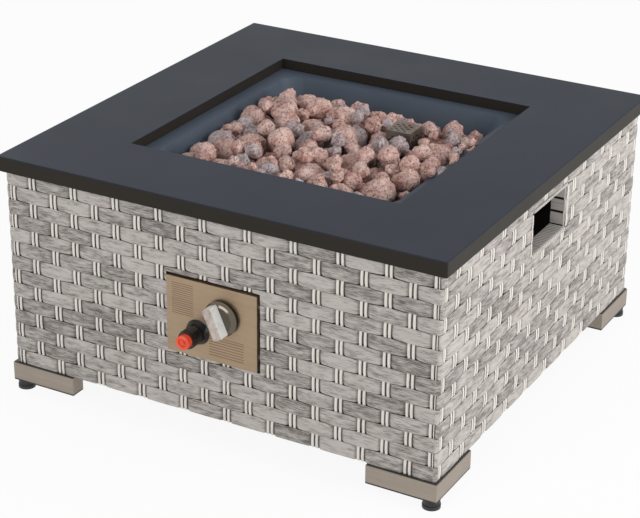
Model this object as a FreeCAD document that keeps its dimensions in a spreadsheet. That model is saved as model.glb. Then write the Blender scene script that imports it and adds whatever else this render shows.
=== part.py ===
import FreeCAD, Part
import math
import operator
import os
import random

import Sketcher
from FreeCAD import Placement, Rotation, Vector

# Driving dimensions in millimetres, as name, value and meaning.
SIZES = [
    ("table_side", 711.0, "side of the square top"),
    ("top_thickness", 22.5, "height of the top's turned-down skirt"),
    ("top_sheet", 1.5, "sheet of the top"),
    ("top_corner", 3.0, "radius of the top's upright corners"),
    ("top_bend", 1.6, "radius of the bend round the top's edge"),
    ("top_lip", 34.0, "width of the lip folded in under the top"),
    ("overhang", 4.5, "top past the wicker on each side"),
    ("opening_side", 436.0, "side of the square opening in the top"),
    ("opening_depth", 17.0, "from the top down to the pan's flange"),
    ("opening_flange", 20.0, "flange folded outwards under the opening"),
    ("skirt_height", 307.5, "height of the wicker skirt"),
    ("wicker_thick", 7.0, "thickness of the woven panels"),
    ("wicker_corner", 8.0, "radius of the skirt's upright corners"),
    ("handle_width", 120.0, "hand hole's width"),
    ("handle_height", 64.0, "hand hole's height"),
    ("handle_drop", 24.0, "hand hole's top edge below the top"),
    ("tube_side", 20.0, "side of the frame's square tube"),
    ("tube_wall", 1.2, "wall of the frame's tube"),
    ("upright_width", 15.0, "width of the handle and panel uprights"),
    ("foot_gap", 14.0, "from the floor up to the leg"),
    ("leg_plate", 2.5, "edge of the black plate under a leg"),
    ("leg_plug", 4.0, "the plate's part inside the leg"),
    ("leg_height", 26.0, "height of a leg's metal cover"),
    ("leg_pad", 1.5, "black pad between leg and frame"),
    ("leg_arm", 108.0, "length of a leg's arms"),
    ("leg_width", 25.0, "width of a leg's arms"),
    ("leg_sheet", 1.2, "sheet of a leg's cover"),
    ("leg_bolt_place", 72.0, "leg bolt from the corner"),
    ("leg_bolt_inset", 15.0, "leg bolt from the outer face"),
    ("foot_inset", 13.0, "levelling foot's axis from the outer faces"),
    ("foot_radius", 13.0, "radius of a foot's pad"),
    ("foot_base", 5.0, "height of the pad's plain base"),
    ("foot_pad_height", 13.6, "whole height of the pad"),
    ("foot_collar", 12.2, "radius of the pad's ribbed collar"),
    ("foot_rib", 0.9, "radius of a groove between ribs"),
    ("stud_radius", 4.0, "levelling stud"),
    ("stud_seat", 3.0, "floor of the pad under the stud"),
    ("stud_length", 34.0, "levelling stud's length"),
    ("foot_nut_flats", 13.0, "nut of the levelling stud, across flats"),
    ("foot_nut_height", 8.0, "nut of the levelling stud, height"),
    ("running_gap", 0.05, "radial clearance of a shaft in its hole"),
    ("seat_gap", 0.3, "clearance between pieces that only lie close"),
    ("panel_width", 146.0, "control panel's width"),
    ("panel_height", 116.0, "control panel's height"),
    ("panel_middle", 196.5, "control panel's middle above the floor"),
    ("panel_sheet", 1.2, "sheet of the control panel"),
    ("panel_proud", 1.5, "panel's face in front of the wicker"),
    ("panel_fold", 16.0, "depth of the panel's folded edges"),
    ("panel_corner", 1.5, "radius of the panel's corners"),
    ("panel_gap", 2.0, "dark gap round the panel"),
    ("knob_x", 18.0, "knob's axis right of the middle"),
    ("knob_rise", 13.5, "knob's axis above the panel's middle"),
    ("knob_radius", 26.0, "knob's round skirt"),
    ("knob_gap", 4.2, "skirt's rim off the panel"),
    ("knob_dome", 6.5, "height of the skirt"),
    ("knob_wall", 1.5, "wall of the skirt"),
    ("knob_boss", 8.0, "radius of the boss inside the skirt"),
    ("grip_length", 46.0, "knob's bar grip, length"),
    ("grip_width", 14.0, "knob's bar grip, width"),
    ("grip_depth", 18.0, "knob's bar grip, depth"),
    ("grip_corner", 2.0, "radius of the grip's corners"),
    ("knob_tilt", 24.0, "grip's angle from upright, degrees"),
    ("knob_push", 3.5, "travel of the knob when pushed"),
    ("stem_radius", 3.0, "valve stem"),
    ("stem_flat", 1.5, "depth of the stem's flat under its radius minus this"),
    ("stem_in_knob", 15.0, "stem inside the knob"),
    ("stem_in_plug", 9.0, "stem inside the valve's plug"),
    ("plug_radius", 8.0, "valve's turning plug"),
    ("plug_length", 28.0, "valve plug's length"),
    ("plug_bore", 22.0, "depth of the plug's bore"),
    ("plug_back", 9.0, "valve plug behind the panel's back"),
    ("valve_width", 34.0, "valve body, width"),
    ("valve_height", 40.0, "valve body, height"),
    ("valve_depth", 62.0, "valve body, depth"),
    ("inlet_back", 46.0, "gas inlet behind the panel's back"),
    ("valve_ear", 4.0, "thickness of the valve's mounting ears"),
    ("valve_screw_place", 17.5, "valve screws left and right of the stem"),
    ("valve_screw", 2.0, "radius of a valve screw"),
    ("inlet_radius", 7.9, "threaded end of the gas inlet"),
    ("inlet_thread", 14.0, "length of the inlet's thread"),
    ("inlet_flats", 19.0, "inlet's hexagon, across flats"),
    ("inlet_hex", 9.0, "inlet's hexagon, height"),
    ("outlet_flats", 16.0, "hose nuts, across flats"),
    ("outlet_length", 12.0, "hose nuts, length"),
    ("igniter_x", -22.5, "igniter's axis from the middle"),
    ("igniter_drop", 19.0, "igniter's axis below the panel's middle"),
    ("igniter_base", 19.0, "igniter's base radius"),
    ("igniter_flange", 7.0, "igniter's base, height"),
    ("igniter_barrel", 14.0, "radius of the ribbed barrel"),
    ("igniter_reach", 30.5, "barrel's end in front of the panel"),
    ("igniter_rib", 1.1, "radius of a groove on the barrel"),
    ("igniter_shank", 10.8, "threaded shank behind the panel"),
    ("igniter_length", 52.0, "shank's length behind the panel"),
    ("igniter_nut", 16.0, "nut radius"),
    ("igniter_nut_height", 6.0, "nut height"),
    ("button_radius", 10.5, "push button"),
    ("button_reach", 8.5, "button out of the barrel"),
    ("button_inside", 7.0, "button inside the barrel"),
    ("button_push", 4.0, "travel of the push button"),
    ("button_dish", 7.0, "radius of the button's hollow"),
    ("button_dish_depth", 1.5, "depth of the button's hollow"),
    ("battery_radius", 5.2, "round cell"),
    ("battery_length", 44.5, "round cell's length"),
    ("module_length", 16.0, "pulse module behind the igniter"),
    ("pan_sheet", 1.2, "sheet of the fire pan"),
    ("pan_ledge", 24.0, "pan's flange seen inside the opening"),
    ("pan_depth", 62.0, "depth of the pan"),
    ("pan_slope", 29.0, "how far the pan's walls lean in"),
    ("pan_corner", 28.0, "radius of the pan's corners"),
    ("pan_screw", 2.5, "radius of a pan screw"),
    ("pan_screw_place", 150.0, "pan screws from the middle of a side"),
    ("ring_radius", 66.0, "burner ring's centre line"),
    ("ring_tube", 8.0, "burner ring's tube"),
    ("ring_lift", 14.0, "burner ring's centre line above the pan"),
    ("burner_wall", 1.2, "wall of the burner's tubes"),
    ("hub_radius", 16.0, "burner's hub"),
    ("hub_height", 24.0, "burner hub's height"),
    ("feed_radius", 10.5, "burner's threaded feed pipe"),
    ("feed_length", 34.0, "feed pipe below the pan's floor"),
    ("port_radius", 1.2, "gas port"),
    ("burner_nut_flats", 32.0, "lock nut, across flats"),
    ("burner_nut_height", 8.0, "lock nut, height"),
    ("mixer_radius", 14.0, "air mixer"),
    ("mixer_length", 58.0, "air mixer's length"),
    ("mixer_throat", 6.5, "air mixer's throat"),
    ("mixer_window", 12.0, "height of the mixer's air windows"),
    ("jet_radius", 4.0, "jet inside the mixer"),
    ("jet_height", 12.0, "jet above the elbow"),
    ("elbow_side", 17.0, "side of the jet's elbow block"),
    ("hose_radius", 6.0, "burner hose"),
    ("hose_bore", 4.0, "bore of the burner hose"),
    ("guard_x", 92.0, "pilot guard right of the middle"),
    ("guard_y", 42.0, "pilot guard behind the middle"),
    ("guard_side", 40.0, "pilot guard's side"),
    ("guard_height", 78.0, "pilot guard's height above the pan"),
    ("guard_sheet", 1.0, "sheet of the guard"),
    ("guard_gap_long", 8.0, "long diagonal of a mesh gap"),
    ("guard_gap_short", 4.0, "short diagonal of a mesh gap"),
    ("electrode_radius", 3.2, "ceramic of the electrode"),
    ("electrode_height", 42.0, "height of the ceramic"),
    ("spark_radius", 1.0, "electrode's wire"),
    ("couple_radius", 2.6, "thermocouple's tip"),
    ("lead_radius", 1.5, "leads"),
    ("screw_radius", 2.5, "tabletop and panel screws"),
    ("bolt_radius", 3.0, "leg bolts"),
    ("rock_chip", 7.5, "smallest chip's radius"),
    ("rock_small", 12.5, "smallest rock's radius"),
    ("rock_large", 26.0, "largest rock's radius"),
    ("heap_rise", 20.0, "heap above the pan's flange"),
]
RIB_COUNT = 20
PORT_COUNT = 20
ROCK_SEED = 7
ROCK_MISSES = 90

# How far a rock's top may stand out of the heap's outline, and how far a rock may roll.
ROCK_PROUD = 6.0
ROAM = 40.0
RIM_ROAM = 9.0

# The heap's crest: its left and back limits, its fall past them and its spread.
HEAP_LEFT = -148.0
HEAP_BACK = 112.0
HEAP_FALL = 0.9
HEAP_SPREAD = 300.0

# The directions that a turned or padded piece can point in.
TURNS = {
    "+z": Rotation(),
    "-z": Rotation(Vector(1, 0, 0), 180),
    "+y": Rotation(Vector(1, 0, 0), -90),
    "-y": Rotation(Vector(1, 0, 0), 90),
    "+x": Rotation(Vector(0, 1, 0), 90),
    "-x": Rotation(Vector(0, 1, 0), -90),
}
SIGNS = {"+": operator.add, "-": operator.sub, "*": operator.mul, "/": operator.truediv}


class Size:
    """A length that carries its number and the sheet formula it comes from."""

    def __init__(self, number, formula):
        self.number = number
        self.formula = formula

    def __float__(self):
        return self.number

    def __add__(self, other):
        return combined(self, "+", other)

    def __radd__(self, other):
        return combined(other, "+", self)

    def __sub__(self, other):
        return combined(self, "-", other)

    def __rsub__(self, other):
        return combined(other, "-", self)

    def __mul__(self, other):
        return combined(self, "*", other)

    def __rmul__(self, other):
        return combined(other, "*", self)

    def __truediv__(self, other):
        return combined(self, "/", other)

    def __neg__(self):
        return combined(0, "-", self)


def text_of(value):
    """The formula of a size, or a plain number as text."""
    if isinstance(value, Size):
        return value.formula
    return f"{float(value):.6f}"


def combined(left, sign, right):
    """The size that two others give."""
    number = SIGNS[sign](float(left), float(right))
    return Size(number, f"({text_of(left)} {sign} {text_of(right)})")


# The document and its sheet of driving dimensions.
doc = FreeCAD.newDocument("fire_pit")
sheet = doc.addObject("Spreadsheet::Sheet", "sizes")
for row, (alias, value, meaning) in enumerate(SIZES, start=1):
    sheet.set(f"A{row}", alias)
    sheet.set(f"B{row}", str(value))
    sheet.set(f"C{row}", meaning)
    sheet.setAlias(f"B{row}", alias)
doc.recompute()
S = {alias: Size(value, f"sizes.{alias}") for alias, value, meaning in SIZES}
NODES = {}


def keep(name, item):
    """Mark a finished piece, whose name is its file's name."""
    item.Label = name
    NODES[name] = item
    return item


def bind(item, path, value):
    """Tie one property to the sheet."""
    item.setExpression(path, text_of(value))


def place(item, x, y, z, turn=None):
    """Put a piece at a bound position, turned by a rotation."""
    item.Placement = Placement(Vector(float(x), float(y), float(z)), turn or Rotation())
    for letter, value in zip("xyz", (x, y, z)):
        bind(item, f"Placement.Base.{letter}", value)
    return item


def block(x0, x1, y0, y1, z0, z1):
    """A box between two corners."""
    item = doc.addObject("Part::Box", "block")
    bind(item, "Length", x1 - x0)
    bind(item, "Width", y1 - y0)
    bind(item, "Height", z1 - z0)
    return place(item, x0, y0, z0)


def rod(radius, length, x, y, z, way="+z"):
    """A cylinder from a point along one axis."""
    item = doc.addObject("Part::Cylinder", "rod")
    bind(item, "Radius", radius)
    bind(item, "Height", length)
    return place(item, x, y, z, TURNS[way])


def cone(first, second, length, x, y, z, way="+z"):
    """A cone from a point along one axis."""
    item = doc.addObject("Part::Cone", "cone")
    bind(item, "Radius1", first)
    bind(item, "Radius2", second)
    bind(item, "Height", length)
    return place(item, x, y, z, TURNS[way])


def hexagon(flats, length, x, y, z, way="+z"):
    """A hexagonal prism from a point along one axis."""
    item = doc.addObject("Part::Prism", "hexagon")
    item.Polygon = 6
    bind(item, "Circumradius", flats / math.sqrt(3.0))
    bind(item, "Height", length)
    return place(item, x, y, z, TURNS[way])


def cut(base, *tools):
    """A piece less some others."""
    for tool in tools:
        item = doc.addObject("Part::Cut", "cut")
        item.Base = base
        item.Tool = tool
        base = item
    return base


def join(*items):
    """Pieces welded into one solid."""
    item = doc.addObject("Part::MultiFuse", "join")
    item.Shapes = list(items)
    item.Refine = True
    return item


def group(*items):
    """Separate solids kept together."""
    item = doc.addObject("Part::Compound", "group")
    item.Links = list(items)
    return item


def overlap(base, tool):
    """What two pieces share."""
    item = doc.addObject("Part::Common", "common")
    item.Base = base
    item.Tool = tool
    return item


def tube(radius, bore, length, x, y, z, way="+z"):
    """A round tube from a point along one axis."""
    return cut(rod(radius, length, x, y, z, way), rod(bore, length, x, y, z, way))


def square_tube(x0, x1, y0, y1, z0, z1, way):
    """A square tube between two corners, open at both ends."""
    wall = S["tube_wall"]
    inside = {"x": wall, "y": wall, "z": wall}
    inside[way] = 0
    bore = block(
        x0 + inside["x"], x1 - inside["x"],
        y0 + inside["y"], y1 - inside["y"],
        z0 + inside["z"], z1 - inside["z"],
    )
    return cut(block(x0, x1, y0, y1, z0, z1), bore)


def origin_plane(body, role):
    """One of a body's own planes."""
    return next(item for item in body.Origin.OriginFeatures if item.Role == role)


def new_sketch(body, role="XY_Plane"):
    """An empty sketch on one of a body's planes."""
    sketch = body.newObject("Sketcher::SketchObject", "outline")
    sketch.AttachmentSupport = [(origin_plane(body, role), "")]
    sketch.MapMode = "FlatFace"
    return sketch


def polygon(sketch, points):
    """Straight lines through points whose places are bound to the sheet."""
    flat = [Vector(float(u), float(v), 0) for u, v in points]
    count = len(points)
    for index in range(count):
        sketch.addGeometry(Part.LineSegment(flat[index], flat[(index + 1) % count]), False)
    for index in range(count):
        joint = Sketcher.Constraint("Coincident", index, 2, (index + 1) % count, 1)
        sketch.addConstraint(joint)
    for index, (u, v) in enumerate(points):
        for kind, axis, value in (("DistanceX", -2, u), ("DistanceY", -1, v)):
            if abs(float(value)) < 1e-9:
                sketch.addConstraint(Sketcher.Constraint("PointOnObject", index, 1, axis))
                continue
            rule = Sketcher.Constraint(kind, -1, 1, index, 1, float(value))
            number = sketch.addConstraint(rule)
            bind(sketch, f"Constraints[{number}]", value)


def rounded(sketch, width, depth, radius):
    """A rectangle round the origin with round corners."""
    half_w = float(width) / 2
    half_d = float(depth) / 2
    r = float(radius)
    corners = [
        (half_w - r, -half_d + r, -90),
        (half_w - r, half_d - r, 0),
        (-half_w + r, half_d - r, 90),
        (-half_w + r, -half_d + r, 180),
    ]
    arcs = []
    for x, y, start in corners:
        circle = Part.Circle(Vector(x, y, 0), Vector(0, 0, 1), r)
        first = math.radians(start)
        arcs.append(Part.ArcOfCircle(circle, first, first + math.pi / 2))
    for index, arc in enumerate(arcs):
        before = arcs[index - 1]
        sketch.addGeometry(Part.LineSegment(before.EndPoint, arc.StartPoint), False)
        sketch.addGeometry(arc, False)
    rules = [("Tangent", index, 2, (index + 1) % 8, 1) for index in range(8)]
    rules += [("Horizontal", 0), ("Vertical", 2), ("Horizontal", 4), ("Vertical", 6)]
    rules += [("Equal", 1, 3), ("Equal", 1, 5), ("Equal", 1, 7)]
    rules += [("Symmetric", 1, 3, 5, 3, -1, 1)]
    for rule in rules:
        sketch.addConstraint(Sketcher.Constraint(*rule))
    measures = [
        (("Radius", 1, r), radius),
        (("DistanceX", 6, 1, 2, 1, 2 * half_w), width),
        (("DistanceY", 0, 1, 4, 1, 2 * half_d), depth),
    ]
    for rule, value in measures:
        number = sketch.addConstraint(Sketcher.Constraint(*rule))
        bind(sketch, f"Constraints[{number}]", value)


def circle(sketch, radius, x=0, y=0):
    """A circle whose radius is bound, round the origin or a point of the X axis."""
    ring = Part.Circle(Vector(float(x), float(y), 0), Vector(0, 0, 1), float(radius))
    index = sketch.addGeometry(ring, False)
    number = sketch.addConstraint(Sketcher.Constraint("Radius", index, float(radius)))
    bind(sketch, f"Constraints[{number}]", radius)
    if abs(float(x)) < 1e-9:
        sketch.addConstraint(Sketcher.Constraint("Coincident", index, 3, -1, 1))
        return
    sketch.addConstraint(Sketcher.Constraint("PointOnObject", index, 3, -1))
    number = sketch.addConstraint(Sketcher.Constraint("DistanceX", -1, 1, index, 3, float(x)))
    bind(sketch, f"Constraints[{number}]", x)


def pad(body, sketch, length):
    """Thicken a sketch into the body."""
    item = body.newObject("PartDesign::Pad", "pad")
    item.Profile = sketch
    bind(item, "Length", length)
    sketch.Visibility = False
    return item


def extruded(points, length, x, y, z, turn=None):
    """A body with a straight-sided outline in XY, thickened upwards."""
    body = doc.addObject("PartDesign::Body", "body")
    sketch = new_sketch(body)
    polygon(sketch, points)
    pad(body, sketch, length)
    return place(body, x, y, z, turn)


def plate(width, depth, radius, length, x, y, z, turn=None):
    """A body with a round-cornered outline in XY, thickened upwards."""
    body = doc.addObject("PartDesign::Body", "body")
    sketch = new_sketch(body)
    rounded(sketch, width, depth, radius)
    pad(body, sketch, length)
    return place(body, x, y, z, turn)


def turned(points, x, y, z, way="+z"):
    """A body turned about its axis from points of radius and height."""
    body = doc.addObject("PartDesign::Body", "body")
    sketch = new_sketch(body, "XZ_Plane")
    polygon(sketch, points)
    item = body.newObject("PartDesign::Revolution", "turned")
    item.Profile = sketch
    item.ReferenceAxis = (sketch, ["V_Axis"])
    item.Angle = 360
    return place(body, x, y, z, TURNS[way])


def ribbed(radius, groove, length, x, y, z, way="+z"):
    """A round bar with grooves all round it."""
    body = doc.addObject("PartDesign::Body", "body")
    sketch = new_sketch(body)
    circle(sketch, radius)
    pad(body, sketch, length)
    doc.recompute()
    notch = new_sketch(body)
    circle(notch, groove, radius + groove / 3)
    pocket = body.newObject("PartDesign::Pocket", "groove")
    pocket.Profile = notch
    pocket.Type = 1
    pocket.Midplane = True
    pattern = body.newObject("PartDesign::PolarPattern", "grooves")
    pattern.Originals = [pocket]
    pattern.Axis = (notch, ["N_Axis"])
    pattern.Angle = 360
    pattern.Occurrences = RIB_COUNT
    body.Tip = pattern
    return place(body, x, y, z, TURNS[way])


def soften(body, radius, wanted):
    """Round the edges of a body that a test picks."""
    doc.recompute()
    tip = body.Tip
    names = [f"Edge{i + 1}" for i, edge in enumerate(tip.Shape.Edges) if wanted(edge)]
    item = body.newObject("PartDesign::Fillet", "soft_edges")
    item.Base = (tip, names)
    bind(item, "Radius", radius)
    return body


def path_wire(points, section, label):
    """Straight runs joined by tangent arcs, as large as the runs allow."""
    edges = []
    here = points[0]
    radii = []
    for index in range(1, len(points) - 1):
        before, corner, after = points[index - 1], points[index], points[index + 1]
        back = (before - corner)
        ahead = (after - corner)
        shorter = min(back.Length, ahead.Length)
        back.normalize()
        ahead.normalize()
        turn = math.pi - back.getAngle(ahead)
        reach = 0.45 * shorter
        radius = reach / math.tan(turn / 2)
        radii.append(round(radius, 1))
        start = corner + back * reach
        end = corner + ahead * reach
        inward = back + ahead
        inward.normalize()
        middle = corner + inward * (radius / math.cos(turn / 2) - radius)
        edges.append(Part.LineSegment(here, start).toShape())
        edges.append(Part.Arc(start, middle, end).toShape())
        here = end
    edges.append(Part.LineSegment(here, points[-1]).toShape())
    print(f"{label}: arc radii {radii}, tube radius {float(section)}")
    return Part.Wire(edges)


def swept(points, radius, label):
    """A round solid along a route."""
    wire = path_wire(points, radius, label)
    start = points[0]
    way = points[1] - points[0]
    ring = Part.Wire([Part.Circle(start, way, float(radius)).toShape()])
    solid = wire.makePipeShell([ring], True, False)
    share = solid.Volume / (math.pi * float(radius) ** 2 * wire.Length)
    print(f"{label}: volume over section times length {share:.4f}")
    return solid


def shaped(shape):
    """A piece whose shape is worked out here from the sheet's sizes."""
    item = doc.addObject("Part::Feature", "shaped")
    item.Shape = shape
    return item


# Heights and half widths that several pieces share.
FLOOR_TO_LEG = S["foot_gap"]
LEG_BOTTOM = FLOOR_TO_LEG + S["leg_plate"]
LEG_TOP = LEG_BOTTOM + S["leg_height"]
FRAME_BOTTOM = LEG_TOP + S["leg_pad"]
FRAME_TOP = FRAME_BOTTOM + S["skirt_height"]
TABLE_TOP = FRAME_TOP + S["top_thickness"]
SKIRT = S["table_side"] / 2 - S["overhang"]
FRAME = SKIRT - S["wicker_thick"]
FRAME_IN = FRAME - S["tube_side"]
RAIL_TOP = FRAME_BOTTOM + S["tube_side"]
RAIL_UNDER = FRAME_TOP - S["tube_side"]
FLANGE_TOP = TABLE_TOP - S["opening_depth"]
PAN_FLOOR = FLANGE_TOP - S["pan_depth"]
PAN_UNDER = PAN_FLOOR - S["pan_sheet"]
OPENING = S["opening_side"] / 2
LEDGE = OPENING - S["pan_ledge"]
HANDLE_TOP = FRAME_TOP - S["handle_drop"]
HANDLE_BOTTOM = HANDLE_TOP - S["handle_height"]
PANEL_FACE = -SKIRT - S["panel_proud"]
PANEL_BACK = PANEL_FACE + S["panel_sheet"]
PANEL_LEFT = -(S["panel_width"] / 2)
PANEL_RIGHT = S["panel_width"] / 2
PANEL_BOTTOM = S["panel_middle"] - S["panel_height"] / 2
PANEL_TOP = S["panel_middle"] + S["panel_height"] / 2
KNOB_Z = S["panel_middle"] + S["knob_rise"]
IGNITER_Z = S["panel_middle"] - S["igniter_drop"]
CORNERS = {
    "front_left": (-1, -1, 0),
    "front_right": (1, -1, 90),
    "back_right": (1, 1, 180),
    "back_left": (-1, 1, 270),
}


def build_tabletop():
    """The folded steel top with its skirt, lip and turned-down opening."""
    half = S["table_side"] / 2
    inner = half - S["top_sheet"]
    lip = half - S["top_lip"]
    side = S["table_side"]
    body = plate(side, side, S["top_corner"], S["top_thickness"], 0, 0, FRAME_TOP)
    top_level = float(S["top_thickness"])
    bend_edges = lambda edge: min(v.Z for v in edge.Vertexes) > top_level - 0.01
    soften(body, S["top_bend"], bend_edges)
    under = TABLE_TOP - S["top_sheet"]
    hollow = block(-inner, inner, -inner, inner, FRAME_TOP + S["top_sheet"], under)
    mouth = block(-lip, lip, -lip, lip, FRAME_TOP, under)
    shell = cut(body, hollow, mouth)
    rim = OPENING + S["top_sheet"]
    fold = OPENING + S["opening_flange"]
    collar = block(-rim, rim, -rim, rim, FLANGE_TOP, TABLE_TOP - S["top_sheet"] / 2)
    flange = block(-fold, fold, -fold, fold, FLANGE_TOP, FLANGE_TOP + S["top_sheet"])
    opening = block(-OPENING, OPENING, -OPENING, OPENING, FRAME_TOP, TABLE_TOP + 1)
    folded = cut(join(shell, collar, flange), opening)
    keep("tabletop", cut(folded, *tabletop_screw_holes(), *pan_screw_holes()))


def tabletop_screw_places():
    """Two screws through each top rail into the lip."""
    along = S["table_side"] / 4
    middle = FRAME - S["tube_side"] / 2
    for sign in (-1, 1):
        for side in (-1, 1):
            yield along * sign, middle * side
            yield middle * side, along * sign


def pan_screw_places():
    """Two screws on each side of the pan's flange."""
    across = OPENING + S["opening_flange"] / 2
    for sign in (-1, 1):
        for side in (-1, 1):
            yield S["pan_screw_place"] * sign, across * side
            yield across * side, S["pan_screw_place"] * sign


def tabletop_screw_holes():
    """Threaded holes in the lip."""
    size = S["screw_radius"] + S["running_gap"]
    return [rod(size, S["tube_side"] * 2, x, y, RAIL_UNDER - 1) for x, y in tabletop_screw_places()]


def pan_screw_holes():
    """Holes through the opening's flange and the pan's flange."""
    size = S["pan_screw"] + S["running_gap"]
    return [rod(size, 8, x, y, FLANGE_TOP - 4) for x, y in pan_screw_places()]


def build_pan():
    """The pan with its flange, sloped walls and round corners."""
    sheet_size = S["pan_sheet"]
    slope = S["pan_slope"]
    outer = frustum(LEDGE + sheet_size, slope, S["pan_corner"] + sheet_size, PAN_UNDER, FLANGE_TOP - sheet_size)
    reach = (OPENING + S["opening_flange"]) * 2
    flange = plate(reach, reach, S["top_corner"], sheet_size, 0, 0, FLANGE_TOP - sheet_size)
    inner = frustum(LEDGE, slope, S["pan_corner"], PAN_FLOOR, FLANGE_TOP)
    bowl = cut(join(flange, outer), inner)
    feed = rod(S["feed_radius"] + S["seat_gap"], 12, 0, 0, PAN_UNDER - 5)
    lead_size = S["lead_radius"] + S["seat_gap"]
    aside = S["guard_side"] / 5
    leads = [
        rod(lead_size, 12, S["guard_x"] + aside * side, S["guard_y"], PAN_UNDER - 5) for side in (-1, 1)
    ]
    keep("fire_pan", cut(bowl, feed, *leads, *pan_screw_holes()))
    heads = []
    for x, y in pan_screw_places():
        head_z = FLANGE_TOP - sheet_size - 3
        shank = rod(S["pan_screw"], 3 + sheet_size + S["top_sheet"] + 3, x, y, head_z)
        heads.append(join(rod(S["pan_screw"] * 1.9, 3, x, y, head_z), shank))
    keep("pan_screws", group(*heads))


def frustum(half, slope, radius, low, high):
    """A hollow's solid: wide at the top, leaning in to the bottom, round corners."""
    item = doc.addObject("Part::Loft", "frustum")
    outlines = []
    for reach, corner, level in ((half, radius, high), (half - slope, radius - slope / 4, low)):
        outline = doc.addObject("Sketcher::SketchObject", "level")
        rounded(outline, reach * 2, reach * 2, corner)
        place(outline, 0, 0, level)
        outlines.append(outline)
    item.Sections = outlines
    item.Solid = True
    item.Ruled = True
    return item


def build_frame():
    """Square tubes: posts, rails, handle uprights and sills, panel uprights."""
    rails_top = []
    rails_low = []
    for side in (-1, 1):
        a = FRAME_IN if side > 0 else -FRAME
        b = FRAME if side > 0 else -FRAME_IN
        for level, rails in ((RAIL_UNDER, rails_top), (FRAME_BOTTOM, rails_low)):
            high = level + S["tube_side"]
            rails.append(square_tube(-FRAME_IN, FRAME_IN, a, b, level, high, "x"))
            rails.append(square_tube(a, b, -FRAME_IN, FRAME_IN, level, high, "y"))
    posts = []
    for x, y, _ in CORNERS.values():
        x0 = FRAME_IN if x > 0 else -FRAME
        y0 = FRAME_IN if y > 0 else -FRAME
        side = S["tube_side"]
        posts.append(square_tube(x0, x0 + side, y0, y0 + side, FRAME_BOTTOM, FRAME_TOP, "z"))
    keep("corner_posts", group(*posts))
    holes = tabletop_screw_holes()
    keep("top_rails", group(*[cut(rail, group(*holes)) for rail in rails_top]))
    keep("bottom_rails", group(*[cut(rail, group(*leg_bolt_holes())) for rail in rails_low]))
    wide = S["upright_width"]
    uprights = []
    sills = []
    edge = S["handle_width"] / 2
    for side in (-1, 1):
        x0 = FRAME_IN if side > 0 else -FRAME
        x1 = x0 + S["tube_side"]
        uprights.append(square_tube(x0, x1, edge, edge + wide, RAIL_TOP, RAIL_UNDER, "z"))
        uprights.append(square_tube(x0, x1, -edge - wide, -edge, RAIL_TOP, RAIL_UNDER, "z"))
        sills.append(square_tube(x0, x1, -edge, edge, HANDLE_BOTTOM - wide, HANDLE_BOTTOM, "y"))
    keep("handle_uprights", group(*uprights))
    keep("handle_sills", group(*sills))
    gap = S["panel_gap"]
    left = square_tube(PANEL_LEFT - gap - wide, PANEL_LEFT - gap, -FRAME, -FRAME_IN, RAIL_TOP, RAIL_UNDER, "z")
    right = square_tube(PANEL_RIGHT + gap, PANEL_RIGHT + gap + wide, -FRAME, -FRAME_IN, RAIL_TOP, RAIL_UNDER, "z")
    holes = group(*panel_screw_holes())
    keep("panel_uprights", group(cut(left, holes), cut(right, holes)))
    screws = []
    for x, y in tabletop_screw_places():
        head = rod(S["screw_radius"] * 1.9, 3, x, y, RAIL_UNDER - 3)
        shank = rod(S["screw_radius"], S["tube_side"] + S["top_sheet"] + 6, x, y, RAIL_UNDER - 3)
        screws.append(join(head, shank))
    keep("tabletop_screws", group(*screws))


def build_wicker():
    """Four woven panels, mitred at the corners, open at the hand holes and the control panel."""
    outer = plate(SKIRT * 2, SKIRT * 2, S["wicker_corner"], S["skirt_height"], 0, 0, FRAME_BOTTOM)
    inner = block(-FRAME, FRAME, -FRAME, FRAME, FRAME_BOTTOM - 1, FRAME_TOP + 1)
    ring = cut(outer, inner)
    gap = S["panel_gap"]
    hole = block(
        PANEL_LEFT - gap, PANEL_RIGHT + gap, -SKIRT - 1, -FRAME + 1,
        PANEL_BOTTOM - gap, PANEL_TOP + gap,
    )
    edge = S["handle_width"] / 2
    hand = block(-SKIRT - 1, SKIRT + 1, -edge, edge, HANDLE_BOTTOM, HANDLE_TOP)
    reach = SKIRT + 5
    height = S["skirt_height"] + 2
    sides = {"front": 0, "right": 90, "back": 180, "left": 270}
    for name, angle in sides.items():
        turn = Rotation(Vector(0, 0, 1), angle)
        wedge = extruded([(0, 0), (-reach, -reach), (reach, -reach)], height, 0, 0, FRAME_BOTTOM - 1, turn)
        panel = overlap(ring, wedge)
        if name == "front":
            panel = cut(panel, hole)
        if name in ("left", "right"):
            panel = cut(panel, hand)
        keep(f"wicker_{name}", panel)


def leg_outline(inset):
    """An L whose outer corner is the origin, drawn in by an inset."""
    arm = S["leg_arm"] - inset
    wide = S["leg_width"] - inset
    return [(inset, inset), (arm, inset), (arm, wide), (wide, wide), (wide, arm), (inset, arm)]


def leg_bolt_spots():
    """A leg's two bolts, from its corner."""
    return [(S["leg_bolt_place"], S["leg_bolt_inset"]), (S["leg_bolt_inset"], S["leg_bolt_place"])]


def leg_bolt_holes():
    """Holes for the leg bolts, in the frame's place."""
    size = S["bolt_radius"] + S["running_gap"]
    holes = []
    for sign_x, sign_y, _ in CORNERS.values():
        for along_x, along_y in leg_bolt_spots():
            x = (SKIRT - along_x) * sign_x
            y = (SKIRT - along_y) * sign_y
            holes.append(rod(size, S["leg_pad"] + 6, x, y, LEG_TOP - 1))
    return holes


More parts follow.
